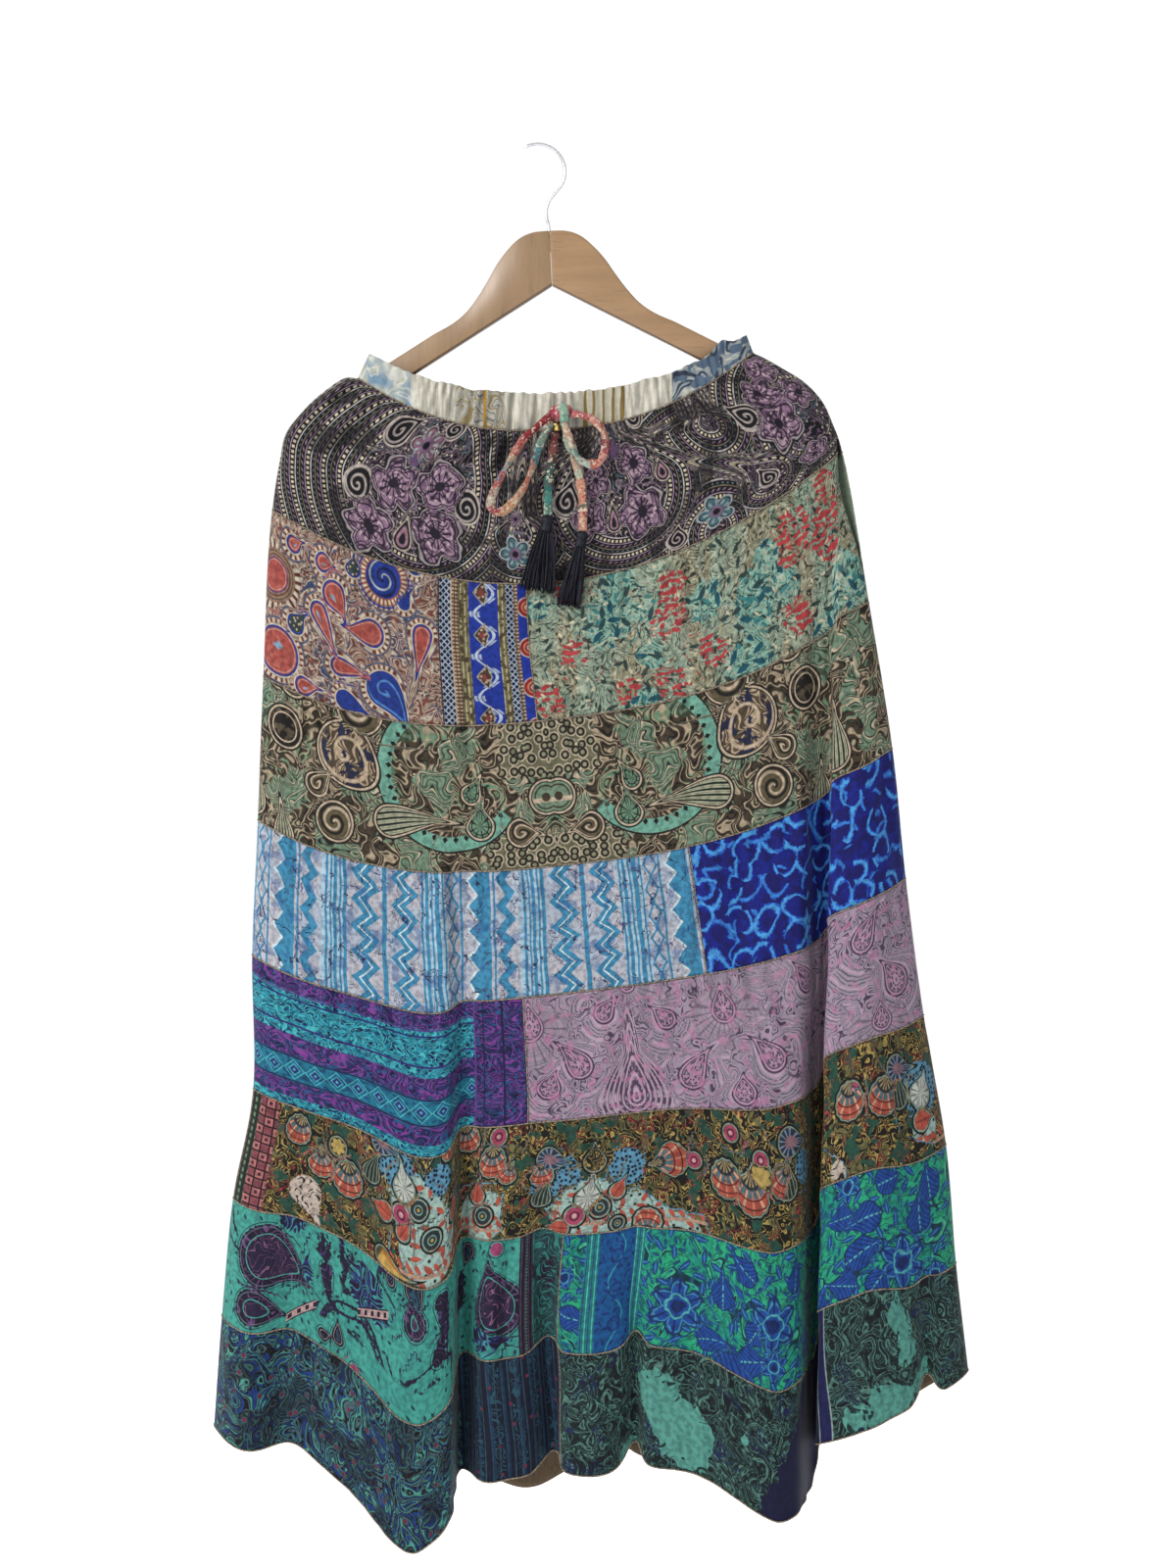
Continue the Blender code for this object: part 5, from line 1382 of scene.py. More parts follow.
def tier_7_right_paint(place, flat, u, v):
    figure = near(place, "small")
    stems = curls(flat, 38, 4.5, 0.8, 0.8)
    small, sprigs = scatter(flat, 17, seed=6), scatter(flat, 10, seed=2)
    colour = paint(
        AQUA, (grain(flat, 30, 2).above(0.52, 0.1), (38, 150, 150)),
        (curls(flat, 18, 4.5, 1.0).line(0.5, 0.2, 0.08), (26, 112, 116)),
        (stems.line(0.5, 0.15, 0.05), (12, 54, 80)), (leaf(sprigs, 4.6, 1.7), (24, 84, 138)),
        (stems.line(0.56, 0.05, 0.04), (96, 200, 180)), (leaf(small, 7.4, 2.9), (20, 56, 124)),
        (leaf(small, 6.4, 2.3), ROYAL), (small.p.line(0, 0.7, 0.3) * leaf(small, 5.6, 2.1), (96, 160, 206)))
    wobble = figure.reach + grain(flat, 9, 1) * 0.34 - 0.17
    petals = flower(wobble, figure.angle, 6, 0.4)
    vein = rows(figure.angle * 0.955, 1.0)
    bloom = paint(
        ROYAL, (petals.line(-0.1, 0.08, 0.05), (90, 150, 210)),
        (vein.under(0.06, 0.05) * figure.reach.above(0.3, 0.1), (20, 40, 120)),
        (wobble.line(0.42, 0.08, 0.05), (110, 180, 210)), (wobble.under(0.26, 0.05), (18, 40, 116)))
    blade = paint(
        ROYAL, (figure.p.line(0, 0.12, 0.06), (120, 180, 220)),
        (rows(figure.q + abs(figure.p) * 0.8, 0.34).under(0.05, 0.04), (20, 44, 130)))
    flowers = kind_is(figure, 0)
    colour = paint(
        colour, (flowers * petals.under(0.08, 0.05), (16, 48, 104)),
        (flowers * petals.under(0, 0.05), bloom), ((1 - flowers) * wobble.under(1.1, 0.06), (16, 48, 104)),
        ((1 - flowers) * wobble.under(1.0, 0.06), blade))
    at = place.number("border")
    lined = paint(
        (40, 120, 150), (rows(at, 3.4).under(0.5, 0.3), (110, 200, 190)),
        (rows(at + 1.7, 6.8).under(0.5, 0.3), (24, 56, 130)))
    vine = abs(at - 33 - (v * 0.10).sin() * 8)
    ring, _ = polar(rows(v - 8, 31), at - 33)
    middle = paint(
        (24, 86, 170), (vine.line(0, 1.3, 0.4), (70, 160, 200)), (ring.line(6, 2.2, 0.5), (28, 60, 150)),
        (leaf(scatter(flat, 9, seed=8), 3.5, 1.2), (30, 50, 140)))
    return paint(
        colour, (at.above(0, 0.5) * at.under(62, 0.5), lined),
        (at.above(14, 0.5) * at.under(52, 0.5), middle))


# Tier 8, left
# Dark navy-teal rayon, tightly filled with paisley curls, with small red-pink dots
# and an upright striped border.
def tier_8_left_paint(place, flat, u, v):
    curl = curls(flat, 23, 5.5, 1.1, 1.0)
    fine = curls(flat, 13, 5, 0.8)
    dots = scatter(flat, 19, seed=9)
    shade = grain(flat, 46, 1)
    colour = paint(
        (10, 12, 30), (fine.line(0.5, 0.18, 0.08), (64, 132, 126)),
        (curl.line(0.5, 0.16, 0.07), (112, 204, 182)), (curl.line(0.75, 0.18, 0.08), (40, 80, 164)),
        (curl.line(0.2, 0.12, 0.05), (112, 140, 148)), (curl.line(0.0, 0.16, 0.08), (12, 10, 24)),
        (shade.above(0.56, 0.04) * 0.6, (22, 20, 42)), (dots.reach.line(2.6, 0.8, 0.4), (84, 128, 136)),
        (dots.reach.under(2.0, 0.5) * dots.kind.above(0.5, 0.05), (150, 54, 84)))
    at = place.number("border")
    stripes = paint(
        (22, 30, 58), (rows(at, 7).under(0.6, 0.3), (60, 104, 128)),
        (rows(at + 2, 14).under(1.2, 0.4), (34, 74, 110)),
        (fine.line(0.5, 0.25, 0.1) * rows(at, 21).under(5, 0.5), (58, 110, 130)),
        (dots.reach.under(1.6, 0.5) * dots.kind.above(0.6, 0.05), (160, 60, 90)))
    return laid(colour, stripes, at.above(0, 0.5))


# Tier 8, right
# Mint rayon under a dense forest-green lace print with ragged scrolled edges, one
# solid navy stretch and a navy stripe between cream lines.
TIER_8_CLEAR = motifs(
    clear=[(668, 1424, 26, 1.6, 280, 0.1), (697, 1460, 32, 1.2, 300), (919, 1350, 14, 2.4, 86),
        (926, 1380, 12, 4.2), (908, 1438, 26, 1.5, 15), (760, 1470, 5, 1.5), (940, 1405, 14, 1.2, 0),
        (640, 1490, 14, 1.5, 20), (872, 1448, 14, 1.5, 20)])


def tier_8_right_paint(place, flat, u, v):
    gap = near(place, "small")
    out = (gap.reach - 1) * gap.size
    lace = curls(flat, 19, 5.5, 1.1, 1.2)
    fine = curls(flat, 11, 5, 0.8)
    ragged = out + grain(flat, 12, 2) * 16 - 8
    plain = paint(
        (108, 178, 152), (grain(joined(u, v * 0.2), 9, 1).above(0.54, 0.05) * 0.35, (80, 140, 124)),
        (curls(flat, 26, 4, 1.0).line(0.5, 0.14, 0.04) * ragged.above(-6, 0.5), (30, 56, 52)))
    colour = paint(
        (24, 42, 40), (fine.line(0.5, 0.3, 0.12), (70, 104, 92)),
        (lace.line(0.5, 0.18, 0.08), (104, 146, 124)), (lace.line(0.82, 0.2, 0.08), (12, 20, 26)),
        (grain(flat, 30, 1).above(0.6, 0.02) * fine.line(0.0, 0.5, 0.1), (30, 42, 84)))
    colour = laid(colour, plain, ragged.under(0, 0.6))
    at = place.number("border")
    at = at + 10 + (v - 62) * 0.13
    navy = at + 178 + (v - 62) * 0.6 + grain(flat, 16, 2) * 24 - 12
    stripe = paint(
        (30, 32, 84), (at.line(-8.4, 1.6, 0.4), (170, 180, 160)), (at.line(4.4, 1.6, 0.4), (170, 180, 160)))
    colour = laid(colour, (24, 24, 62), navy.above(0, 0.6) * at.under(-9, 0.5))
    return laid(colour, stripe, at.above(-9, 0.5) * at.under(5, 0.5))


# Waistband
# A casing of cream rayon gathered tightly on elastic. Its printed bits differ: blue
# swirls at the left end, brown ornament and stripes in the middle, navy leaves at the right.
def waistband_paint(place, flat, u, v):
    at = place.number("border")
    thin = grain(joined(at * 1.6, v * 0.2), 8, 2)
    swirl = curls(flat, 22, 3.5, 0.7)
    ornament = curls(flat, 15, 4, 0.8)
    # painted shade and highlights: upright grey and pale streaks stand for the gathers' soft folds
    colour = paint(
        (222, 216, 200), (thin.above(0.54, 0.08) * 0.6, (160, 156, 142)),
        (thin.under(0.42, 0.05) * 0.6, (248, 244, 232)))
    blue = paint(
        (202, 204, 194), (grain(flat, 26, 1).above(0.52, 0.2) * v.above(6, 8), (120, 156, 184)),
        (swirl.line(0.5, 0.3, 0.2) * 0.5, (150, 172, 186)),
        (swirl.line(0.1, 0.14, 0.08) * 0.7, (196, 190, 150)),
        (swirl.line(0.8, 0.2, 0.12) * 0.6, (240, 238, 226)))
    brown = paint(
        (188, 184, 170), (ornament.line(0.5, 0.3, 0.1), (150, 132, 92)),
        (ornament.line(0.05, 0.2, 0.1), (120, 120, 124)))
    bars = laid((206, 200, 180), (140, 116, 66), rows(at + thin * 6, 8.5).under(1.7, 0.5))
    leaves = paint(
        (158, 168, 174), (swirl.line(0.5, 0.34, 0.1), (52, 62, 80)),
        (swirl.line(0.95, 0.24, 0.08), (200, 200, 188)),
        (grain(flat, 14, 1).above(0.56, 0.04), (92, 112, 134)))
    return paint(
        colour, (at.under(-112, 3), blue), (at.above(-72, 1.5) * at.under(-28, 1.5), brown),
        (at.above(38, 1.5) * at.under(80, 1.5), bars), (at.above(122, 2), leaves),
        (at.line(-46, 3.0, 0.6), (176, 138, 56)))


# Making the patches
# Each patch is a wall a little under 1 mm thick with its print outside and the
# print's paler reverse inside. Plain weave and a soft sheen are the same on all.
# What a cloth is: its print, the colour of its reverse, how strongly it has taken its
# dyes in red, green and blue, and its motifs, small ones and large ones below them.
Cloth = namedtuple("Cloth", "paint reverse strength small grand", defaults=((), ()))
CLOTHS = {
    "waistband_cloth": Cloth(waistband_paint, (200, 192, 172), (1.29, 1.31, 1.32)),
    "tier_1_cloth": Cloth(tier_1_paint, (84, 74, 84), (0.95, 0.99, 1.08), TIER_1_BLOOMS, TIER_1_HEARTS),
    "tier_2_left_cloth": Cloth(tier_2_left_paint, (176, 140, 122), (0.92, 1.02, 1.14), TIER_2_LEFT_DROPS),
    "tier_2_right_cloth": Cloth(tier_2_right_paint, (150, 168, 146), (1.2, 1.18, 1.38), TIER_2_RIGHT_PATCHES),
    "tier_3_cloth": Cloth(tier_3_paint, (140, 144, 116), (1.08, 1.05, 1.3), TIER_3_SHAPES),
    "tier_4_left_cloth": Cloth(tier_4_left_paint, (176, 188, 200), (1.09, 1.24, 1.26)),
    "tier_4_right_cloth": Cloth(tier_4_right_paint, (62, 76, 150), (0.72, 1.2, 1.20)),
    "tier_5_left_cloth": Cloth(tier_5_left_paint, (84, 130, 150), (0.82, 1.04, 1.19)),
    "tier_5_right_cloth": Cloth(tier_5_right_paint, (166, 144, 160), (0.98, 1.16, 1.12), TIER_5_HEARTS),
    "tier_6_cloth": Cloth(tier_6_paint, (128, 118, 92), (1.0, 1.1, 1.22), TIER_6_FIGURES, TIER_6_FIELDS),
    "tier_7_left_cloth": Cloth(tier_7_left_paint, (96, 150, 146), (1.22, 0.94, 1.0), TIER_7_LEFT_FIGURES),
    "tier_7_right_cloth": Cloth(tier_7_right_paint, (84, 140, 150), (0.74, 1.3, 0.96), TIER_7_RIGHT_FIGURES),
    "tier_8_left_cloth": Cloth(tier_8_left_paint, (142, 122, 98), (0.66, 0.72, 0.78)),
    "tier_8_right_cloth": Cloth(tier_8_right_paint, (92, 116, 104), (0.9, 1.05, 1.25), TIER_8_CLEAR),
}
# Where a patch's border begins, in the photograph's pixels.
BORDER_FROM = {
    "tier_2_front_left": (447, 600), "tier_4_front_left": (278, 900), "tier_5_front_left": (485, 1080),
    "tier_6_front": (245, 1180), "tier_7_front_left": (528, 1300), "tier_7_front_right": (593, 1330),
    "tier_8_front_left": (470, 1450), "tier_8_front_right": (848, 1400),
}
TIER_3_MIDDLE, WAIST_MIDDLE = 563, 547


def dyed(colour, by, mask=1.0):
    """A colour multiplied by another where a mask is 1."""
    return colour.node("ShaderNodeMix", {"data_type": "RGBA", "blend_type": "MULTIPLY"},
                       {0: mask, 6: colour, 7: (*by, 1)}, output=2)


def printed_rayon(slot):
    """The print as the base colour, darkened and lightened in small random blotches, over a plain
    weave's fine bump and a faint sheen."""
    made, shader, place = new_material(slot, 0.76, Sheen_Weight=0.06, Sheen_Roughness=0.4)
    shader.inputs["Specular IOR Level"].default_value = 0.16
    flat = place.vector("flat")
    u, v, _ = parts(flat)
    mottle = grain(flat, 4.8, 2)
    uneven = 0.12 if slot in ("waistband_cloth", "tier_5_right_cloth") else 0.42
    colour = dyed(CLOTHS[slot].paint(place, flat, u, v), CLOTHS[slot].strength)
    colour = dyed(colour, (0.38, 0.36, 0.40), mottle.under(0.45, 0.14) * uneven)
    colour = dyed(colour, (1.35, 1.33, 1.30), mottle.above(0.57, 0.1) * uneven)
    feed(shader, "Base Color", colour)
    weave = (u * 7.0).sin() * (v * 7.0).sin() * 0.5 + grain(flat, 1.6, 2) * 1.2
    dent(shader, weave, 0.35, 0.0004)
    return made


def reverse_of(slot):
    """The inside of the cloth: the print's own average colour, paler and blotched."""
    made, shader, place = new_material(slot + "_reverse", 0.85)
    shader.inputs["Specular IOR Level"].default_value = 0.15
    colour = dye(*CLOTHS[slot].reverse)
    blots = curls(place.vector("flat"), 11, 5, 0.9).line(0.5, 0.3, 0.2) * 0.6
    feed(shader, "Base Color", over(colour, tuple(0.55 * c for c in colour), blots))
    return made


def from_border(patch, points, across):
    """Millimetres along the cloth from the patch's border, or far from it where it has none."""
    if patch.node in BORDER_FROM:
        return across - across[nearest(points, *BORDER_FROM[patch.node])]
    if patch.tier == 0:
        return (photo_place(points)[0] - WAIST_MIDDLE) * MM_PER_PIXEL
    return across * 0 + {4: across - 40, 6: 99}.get(patch.tier, -99)


finishes = {}
for patch in PATCHES:
    points, across, down = cut_patch(patch)
    faces = grid_faces(*points.shape[:2])
    if not patch.front:
        faces = faces[:, ::-1]
    if patch.slot not in finishes:
        finishes[patch.slot] = (printed_rayon(patch.slot), reverse_of(patch.slot))
    piece = new_piece("cloth_" + patch.node, points, faces, finishes[patch.slot][0])
    piece.data.materials.append(finishes[patch.slot][1])
    level = 0 * down
    keep(piece, "flat", np.stack([across + (0 if patch.front else 400), down, level], -1), "FLOAT_VECTOR")
    mirror = TIER_3_MIDDLE if patch.tier == 3 else None
    for layer in ("grand", "small"):
        table = getattr(CLOTHS[patch.slot], layer)
        if table:
            spots, size = motif_field(points, across, down, table, mirror)
            keep(piece, layer, spots, "FLOAT_VECTOR")
            keep(piece, layer + "_size", size)
    keep(piece, "border", from_border(patch, points, across))
    if patch.tier == 3:
        middle = across[0, np.argmin(abs(photo_place(points)[0][len(points) // 2] - TIER_3_MIDDLE))]
        folded = -abs(across - middle) + (0 if patch.front else 300)
        keep(piece, "mirrored", np.stack([folded, down, level], -1), "FLOAT_VECTOR")
    wall = piece.modifiers.new("Wall", "SOLIDIFY")
    wall.thickness = 0.0009
    wall.offset = -1
    wall.material_offset = 1
    width = float(across.max() - across.min()) * MM
    fasten(piece, patch.node)
    area_of(points) / width


# Seams
# The tiers are joined by an overlocked seam whose tan thread shows as a thin cord
# round the skirt. The patches of a tier meet in the same way, and the hem is rolled.
overlock, overlock_shader, overlock_place = new_material("tan overlock thread", 0.85)
twist = overlock_place.noise(700)
feed(overlock_shader, "Base Color", over((0.045, 0.034, 0.026), (0.19, 0.145, 0.10), twist.above(0.5, 0.16)))


def seam_cord(name, line, width):
    """A thin six-sided cord along a line of points, capped at its ends."""
    points, faces = capped(tube_rings(line, width, width, 6, behind=(0, 1.0, 0.02)))
    fasten(new_piece(name, points, faces, overlock))


for level in range(1, HEM_LEVEL + 1):
    for side, levels, cloth, out in (("front", FRONT_LEVELS, front_cloth, -0.35),
                                     ("back", BACK_LEVELS, back_cloth, 0.35)):
        line = cloth[np.argmin(abs(levels - level))] + [0, out, 0]
        seam_cord("seam_%d_%s" % (level, side), line, 1.3)
for tier, meet in MEETS.items():
    inside = (FRONT_LEVELS >= tier - 1e-6) & (FRONT_LEVELS <= tier + 1 + 1e-6)
    seam_cord("patch_seam_%d" % tier, front_cloth[inside, meet] + [0, -0.2, 0], 1.1)


# Drawstring
# A narrow tube of printed rayon, sewn and pressed flat, tied in a bow. It hangs from the
# knot in two loops and two tails, and each tail ends in the head of a tassel.
CORD_WIDE, CORD_THICK, CORD_SIDES = 8.0, 4.0, 20
LOOP_Y, TAIL_Y = -25.6, -18.6
Drape = namedtuple("Drape", "name points depth turns stops")
DRAPES = [
    Drape("loop_left", [(12.6, -245.3), (1, -255), (-13, -269), (-31, -300), (-40, -321), (-37, -330),
            (-27, -329), (-13, -313), (-3, -292), (4, -270), (13.8, -251)], LOOP_Y, 0.9,
        [(0.0, (0.30, 0.02, 0.03)), (0.10, (0.36, 0.03, 0.04)), (0.17, (0.62, 0.20, 0.16)),
            (0.24, (0.66, 0.50, 0.33)), (0.29, (0.16, 0.30, 0.42)), (0.33, (0.58, 0.16, 0.16)),
            (0.40, (0.50, 0.42, 0.34)), (0.47, (0.36, 0.08, 0.09)), (0.52, (0.60, 0.34, 0.20)),
            (0.62, (0.62, 0.40, 0.27)), (0.68, (0.66, 0.22, 0.14)), (0.75, (0.60, 0.28, 0.20)),
            (0.80, (0.08, 0.26, 0.30)), (0.88, (0.20, 0.30, 0.24)), (1.0, (0.30, 0.14, 0.11))]),
    Drape("loop_right", [(32.4, -243.3), (43, -245), (53, -250), (61, -261), (62, -274), (57, -286),
            (48, -288), (39, -284), (33, -273), (29, -262), (25.2, -251.2)], LOOP_Y, 0.7,
        [(0.0, (0.60, 0.16, 0.17)), (0.12, (0.66, 0.28, 0.22)), (0.24, (0.64, 0.24, 0.17)),
            (0.34, (0.40, 0.08, 0.10)), (0.45, (0.62, 0.30, 0.24)), (0.53, (0.50, 0.14, 0.10)),
            (0.60, (0.46, 0.55, 0.48)), (0.70, (0.25, 0.42, 0.38)), (0.78, (0.56, 0.50, 0.38)),
            (0.88, (0.60, 0.36, 0.26)), (1.0, (0.26, 0.52, 0.40))]),
    Drape("tail_left", [(17.9, -259.0), (15, -276), (12, -298), (11, -316), (11, -333)], TAIL_Y, 0.25,
        [(0.0, (0.22, 0.07, 0.06)), (0.25, (0.14, 0.07, 0.06)), (0.36, (0.015, 0.10, 0.09)),
            (0.52, (0.02, 0.14, 0.12)), (0.7, (0.04, 0.22, 0.18)), (0.9, (0.10, 0.28, 0.22)),
            (1.0, (0.03, 0.12, 0.11))]), Drape("tail_right",
        [(25.5, -250.6), (28, -264), (33, -278), (38, -294), (41, -312), (42, -330), (42, -347)], TAIL_Y,
        0.35, [(0.0, (0.22, 0.48, 0.36)), (0.15, (0.36, 0.52, 0.40)), (0.30, (0.62, 0.44, 0.32)),
            (0.44, (0.46, 0.50, 0.38)), (0.52, (0.64, 0.30, 0.20)), (0.68, (0.62, 0.24, 0.17)),
            (0.76, (0.10, 0.16, 0.10)), (0.80, (0.64, 0.32, 0.22)), (1.0, (0.66, 0.46, 0.30))]),]


def printed_tube(name, stops, length):
    """Soft patches of colour along the tube, broken by small brush-like flecks, with painted shade along its
    folded edges.
    """
    made, shader, place = new_material(name, 0.75, Sheen_Weight=0.04)
    shader.inputs["Specular IOR Level"].default_value = 0.2
    shifted = place.number("along") / length + (place.noise(150, 3, Roughness=0.6) - 0.5) * 0.2
    stops = [(place_on, tuple(0.42 * c for c in seen)) for place_on, seen in stops]
    colour = place.node("ShaderNodeValToRGB", {"stops": stops, "interpolation": "CONSTANT"}, {"Fac": shifted})
    spots = place.noise(300, 2, Distortion=1.0)
    colour = over(colour, (0.36, 0.32, 0.25), spots.above(0.60, 0.03) * 0.85)
    colour = over(colour, (0.10, 0.01, 0.015), spots.under(0.39, 0.03) * 0.8)
    # painted shade: darker along the tube's two folded edges, where it turns away from the light
    colour = over(colour, (0.06, 0.03, 0.025), place.number("edge").above(0.93, 0.08) * 0.35)
    feed(shader, "Base Color", colour)
    dent(shader, place.noise(330), 0.7, 0.0014)
    return made


def drape_rings(drape):
    """Oval rings along the drape: the tube is pinched at its knot, its edges are soft, and it
    twists slowly by the given turns and back again."""
    flat = smooth_line(drape.points, 130)
    line = np.insert(flat, 1, drape.depth, axis=1)
    t = np.linspace(0, 1, len(line))
    pinch = 0.74 + 0.26 * np.clip(np.minimum(t, 1 if "tail" in drape.name else (1 - t)) * 9, 0, 1)
    crumple = 1 + 0.09 * np.sin(31 * t + 2) + 0.07 * np.sin(57 * t) + 0.05 * np.sin(93 * t + 1)
    thick = CORD_THICK * (0.92 + 0.16 * np.sin(41 * t) + 0.08 * np.sin(83 * t))
    turn = drape.turns * np.sin(2 * math.pi * t) + 0.25 * np.sin(23 * t)
    return tube_rings(line, CORD_WIDE * pinch * crumple, thick, CORD_SIDES, turn), line


drawstring = {}
for drape in DRAPES:
    rings, line = drape_rings(drape)
    length = float(np.linalg.norm(np.diff(line, axis=0), axis=1).sum())
    points, faces = capped(rings)
    node = "drawstring_" + drape.name
    finish = printed_tube("printed tube " + drape.name, drape.stops, length)
    tube = new_piece(node + "_tube", points, faces, finish)
    row, column = np.indices(rings.shape[:2])
    keep(tube, "along", np.append(row.ravel() / (len(line) - 1) * length, [0, length]))
    keep(tube, "edge", np.append(abs(np.cos(column.ravel() / CORD_SIDES * 2 * math.pi)), [0, 0]))
    fasten(tube, node)
    drawstring[drape.name] = (tube, line, length)


# Drawstring knot
# The middle of the bow: one strand of the tube wraps round the others in a tight,
# creased roll, and the start of the right tail crosses over it.
KNOT = (22.0, -19.8, -242.0)
KNOT_SIZE = (22.0, 13.8, 16.0)


def knot_points(rows=48, sides=56):
    """A pillow wider than it is high: a superellipse round and a rounded profile across,
    with three creases that run round it and sink towards the right."""
    across = np.linspace(-1, 1, rows)[:, None]
    round_it = np.linspace(0, 2 * math.pi, sides + 1)[None, :-1]
    profile = (1 - np.abs(across) ** 2.6) ** 0.5 * (1 - 0.10 * np.exp(-((across - 0.1) / 0.22) ** 2))
    crease = 1 - 0.09 * np.exp(-((across - 0.45 + 0.12 * np.sin(round_it)) / 0.07) ** 2) \
        - 0.08 * np.exp(-((across + 0.38 + 0.10 * np.cos(round_it)) / 0.08) ** 2) \
        - 0.05 * np.exp(-((across + 0.05 - 0.2 * np.sin(round_it)) / 0.05) ** 2)
    x = KNOT[0] + across * KNOT_SIZE[0] / 2 + 0 * round_it
    y = KNOT[1] - profile * crease * np.cos(round_it) * KNOT_SIZE[1] / 2
    z = KNOT[2] + profile * crease * np.sin(round_it) * KNOT_SIZE[2] / 2 + across * 1.2
    return np.stack([x, y, z], -1)


knot_stops = [
    (0.0, (0.42, 0.05, 0.09)), (0.3, (0.62, 0.18, 0.20)), (0.6, (0.68, 0.34, 0.26)),
    (0.85, (0.55, 0.10, 0.14)), (1.0, (0.30, 0.50, 0.40))]
points, faces = capped(knot_points())
knot = new_piece(
    "drawstring_knot_wrap", points, faces, printed_tube("printed knot", knot_stops, KNOT_SIZE[0]))
keep(knot, "along", points[:, 0] - KNOT[0] + KNOT_SIZE[0] / 2)
fasten(knot, "drawstring_knot")
strand = smooth_line([(21, -26.2, -235.5), (24.5, -27.3, -239), (25.6, -27.4, -244), (25.6, -26.0, -249),
                      (25.8, -22.5, -253)], 40)
points, faces = capped(tube_rings(strand, 8.0, 3.0, 18))
strand_stops = [(0.0, (0.30, 0.48, 0.38)), (0.5, (0.20, 0.48, 0.36)), (0.8, (0.30, 0.44, 0.34)),
                (1.0, (0.6, 0.5, 0.4))]
crossing = new_piece(
    "drawstring_knot_strand", points, faces, printed_tube("printed strand", strand_stops, 18))
keep(crossing, "along", strand[0, 2] - points[:, 2])
fasten(crossing)


# Drawstring bead
# A small worn brass bead threads onto the left tail just below the knot.
brass, brass_shader, brass_place = new_material("worn brass", 0.3, 1.0)
tarnish = brass_place.noise(260, 4)
feed(brass_shader, "Base Color", over((0.16, 0.10, 0.03), (0.62, 0.45, 0.16), tarnish.above(0.46, 0.3)))
feed(brass_shader, "Roughness", 0.45 - tarnish * 0.3)
BEAD = (18.2, -18.9, -254.2)
profile = np.array([(1.6, 3.9), (2.6, 4.1), (3.3, 3.7), (4.05, 2.2), (4.3, 0), (4.05, -2.2), (3.3, -3.7),
                    (2.6, -4.1), (1.6, -3.9), (1.35, 0)])
radius, height = profile[:, :1], profile[:, 1:]
angle = np.linspace(0, 2 * math.pi, 41)[:-1]
rings = np.stack([BEAD[0] + radius * np.cos(angle) - 0.12 * height, BEAD[1] + radius * np.sin(angle),
                  BEAD[2] + height + 0 * angle], -1)
faces = grid_faces(*rings.shape[:2], round_columns=True, round_rows=True)
fasten(new_piece("drawstring_brass_bead", rings, faces, brass), "drawstring_bead")


# Tassels
# Navy-black viscose thread, doubled over and bound into a short head, hangs in a
# loose bundle. Two shades of the thread lie side by side.
Tassel = namedtuple("Tassel", "name top foot half_width")
TASSELS = [Tassel("left", (11, -333.6), (1, -402), 17), Tassel("right", (42, -347.6), (29, -415), 11)]
HEAD_LONG, HEAD_HALF = 14.0, 5.2
STRANDS, STRAND_RINGS, STRAND_SIDES = 112, 14, 3
thread, thread_shader, thread_place = new_material("viscose thread", 0.6)
thread_shader.inputs["Specular IOR Level"].default_value = 0.2
shade = thread_place.noise(420, 1)
feed(thread_shader, "Base Color", over((0.001, 0.001, 0.0028), (0.005, 0.005, 0.014), shade.above(0.5, 0.2)))
rng = np.random.default_rng(5)


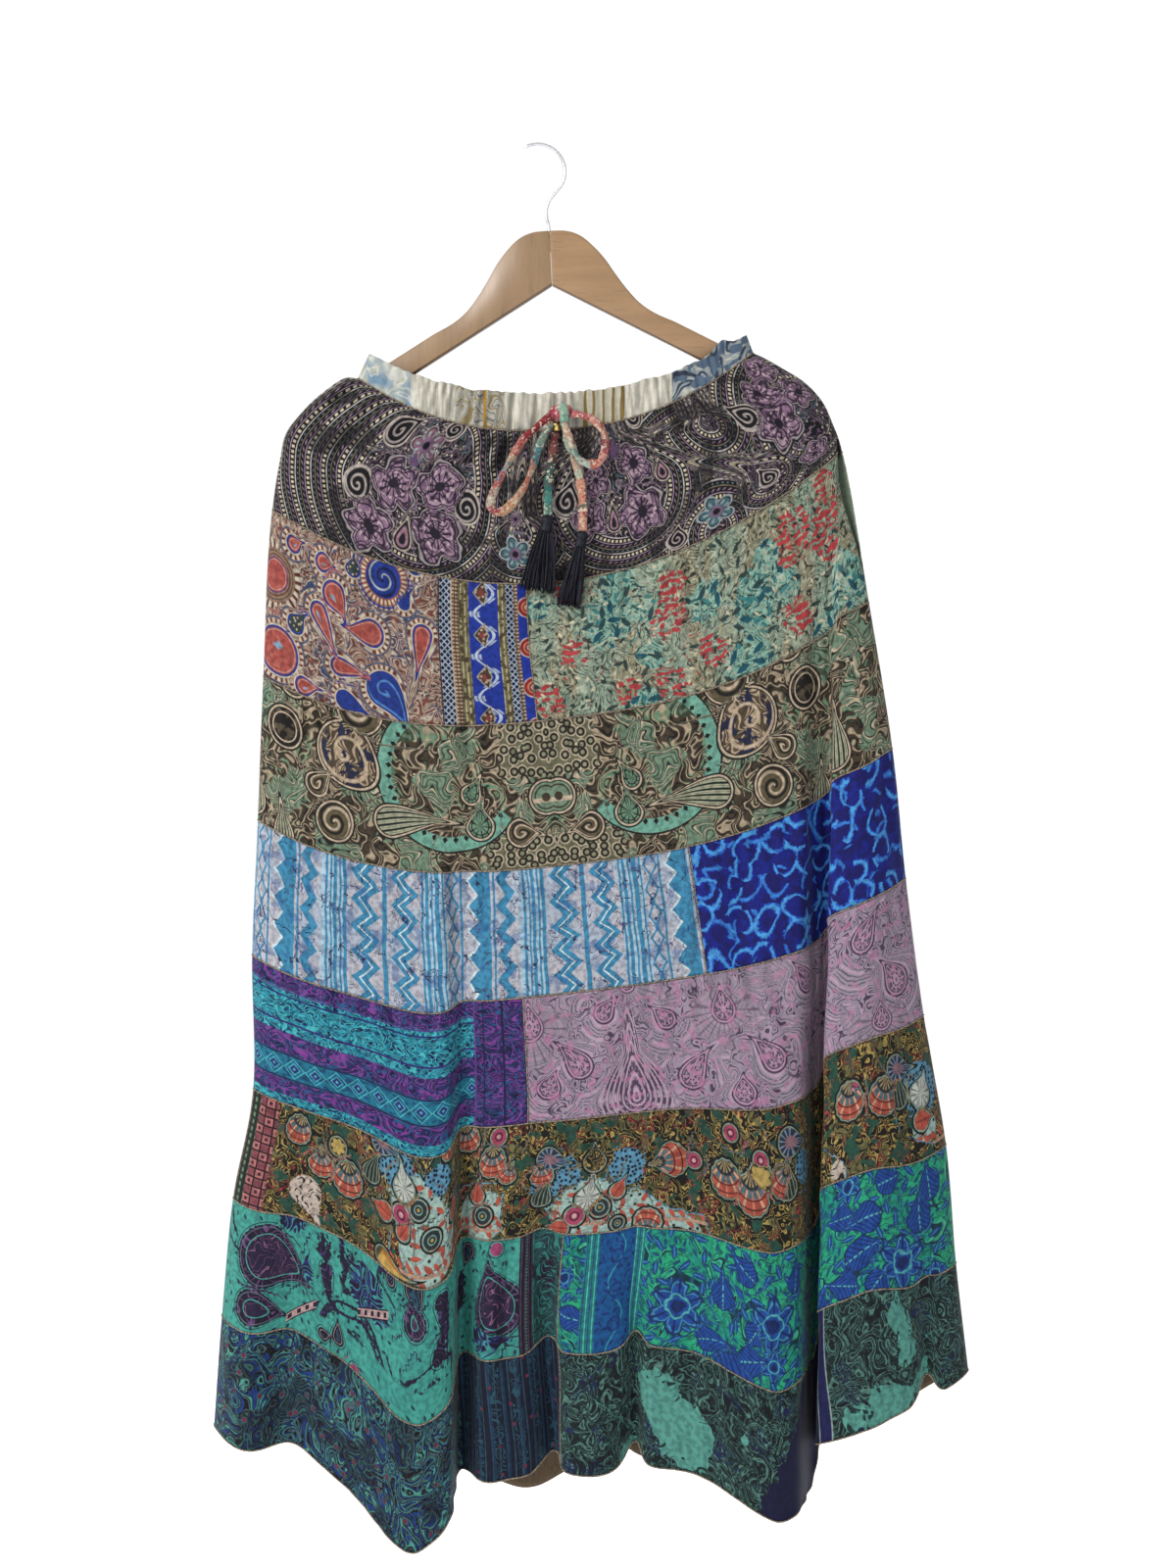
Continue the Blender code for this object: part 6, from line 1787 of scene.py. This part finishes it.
def tassel_pieces(tassel):
    """Strands of three sides that leave the head's foot, spread fanwise and hang unevenly,
    and the head, a bound roll with a waist near its top."""
    top, foot = np.array(tassel.top, float), np.array(tassel.foot, float)
    down = (foot - top) / np.linalg.norm(foot - top)
    across = np.array([-down[1], down[0]])
    y = TAIL_Y - 2.5
    t = np.linspace(0, 1, STRAND_RINGS)[None, :]
    count = STRANDS
    spread = (rng.random((count, 1)) * 2 - 1) * 0.95
    depth = rng.normal(0, 0.45, (count, 1)).clip(-1, 1)
    length = np.linalg.norm(foot - top) * (0.93 + 0.07 * rng.random((count, 1)))
    fan = 0.26 + 0.74 * t ** 0.8
    sway = 1.1 * np.sin(5 * t + 6.28 * rng.random((count, 1))) * t
    side = spread * tassel.half_width * fan + sway
    run = HEAD_LONG * 0.55 + (length - HEAD_LONG * 0.55) * t
    x = top[0] + down[0] * run + across[0] * side
    z = top[1] + down[1] * run + across[1] * side
    strands = np.stack([x, y + depth * (2.2 + 3.0 * t), z], -1)
    angle = np.linspace(0, 2 * math.pi, STRAND_SIDES + 1)[:-1]
    thick = (0.62 + 0.25 * rng.random((count, 1))) * (1 - 0.25 * t)
    ring = np.stack([np.cos(angle), np.sin(angle), 0 * angle], -1)
    points = strands[:, :, None] + thick[:, :, None, None] * ring[None, None]
    each = STRAND_RINGS * STRAND_SIDES
    one = grid_faces(STRAND_RINGS, STRAND_SIDES, round_columns=True)
    ends = np.array([[0, 2, 1], [each - 3, each - 2, each - 1]])
    faces = [f for k in range(count) for f in (one + k * each).tolist() + (ends + k * each).tolist()]
    share = np.linspace(0, 1, 30)[:, None]
    waist = 1 - 0.16 * np.exp(-((share - 0.55) / 0.10) ** 2)
    half = HEAD_HALF * (
        0.35 + 0.65 * np.clip(share * 6, 0, 1) ** 0.5) * waist * (1 + 0.02 * np.sin(share * 90))
    turn = np.linspace(0, 2 * math.pi, 33)[:-1]
    ridge = half * (1 + 0.035 * np.sin(16 * turn))
    head_x = top[0] + down[0] * share * HEAD_LONG + across[0] * ridge * np.cos(turn)
    head_z = top[1] + down[1] * share * HEAD_LONG + across[1] * ridge * np.cos(turn)
    return points, faces, np.stack([head_x, y - ridge * 0.92 * np.sin(turn), head_z], -1)


tassels = {}
for tassel in TASSELS:
    points, faces, head_rings = tassel_pieces(tassel)
    bundle = new_piece("tassel_%s_strands" % tassel.name, points, faces, thread)
    fasten(bundle, "tassel_" + tassel.name)
    head = new_piece("tassel_%s_head" % tassel.name, *capped(head_rings), thread)
    fasten(head)
    tassels[tassel.name] = (head, bundle)


# Drawstring cords
# Each loop and tail hangs from the knot. A loop runs back into the
# knot, and a tail ends in the head of its tassel, which is looked up here.
for name, (tube, line, length) in drawstring.items():
    ends = tassels[name.split("_")[1]] if "tail" in name else ()
    (line[0] * MM).tolist()
    length * MM
    (line[::2] * MM).tolist()
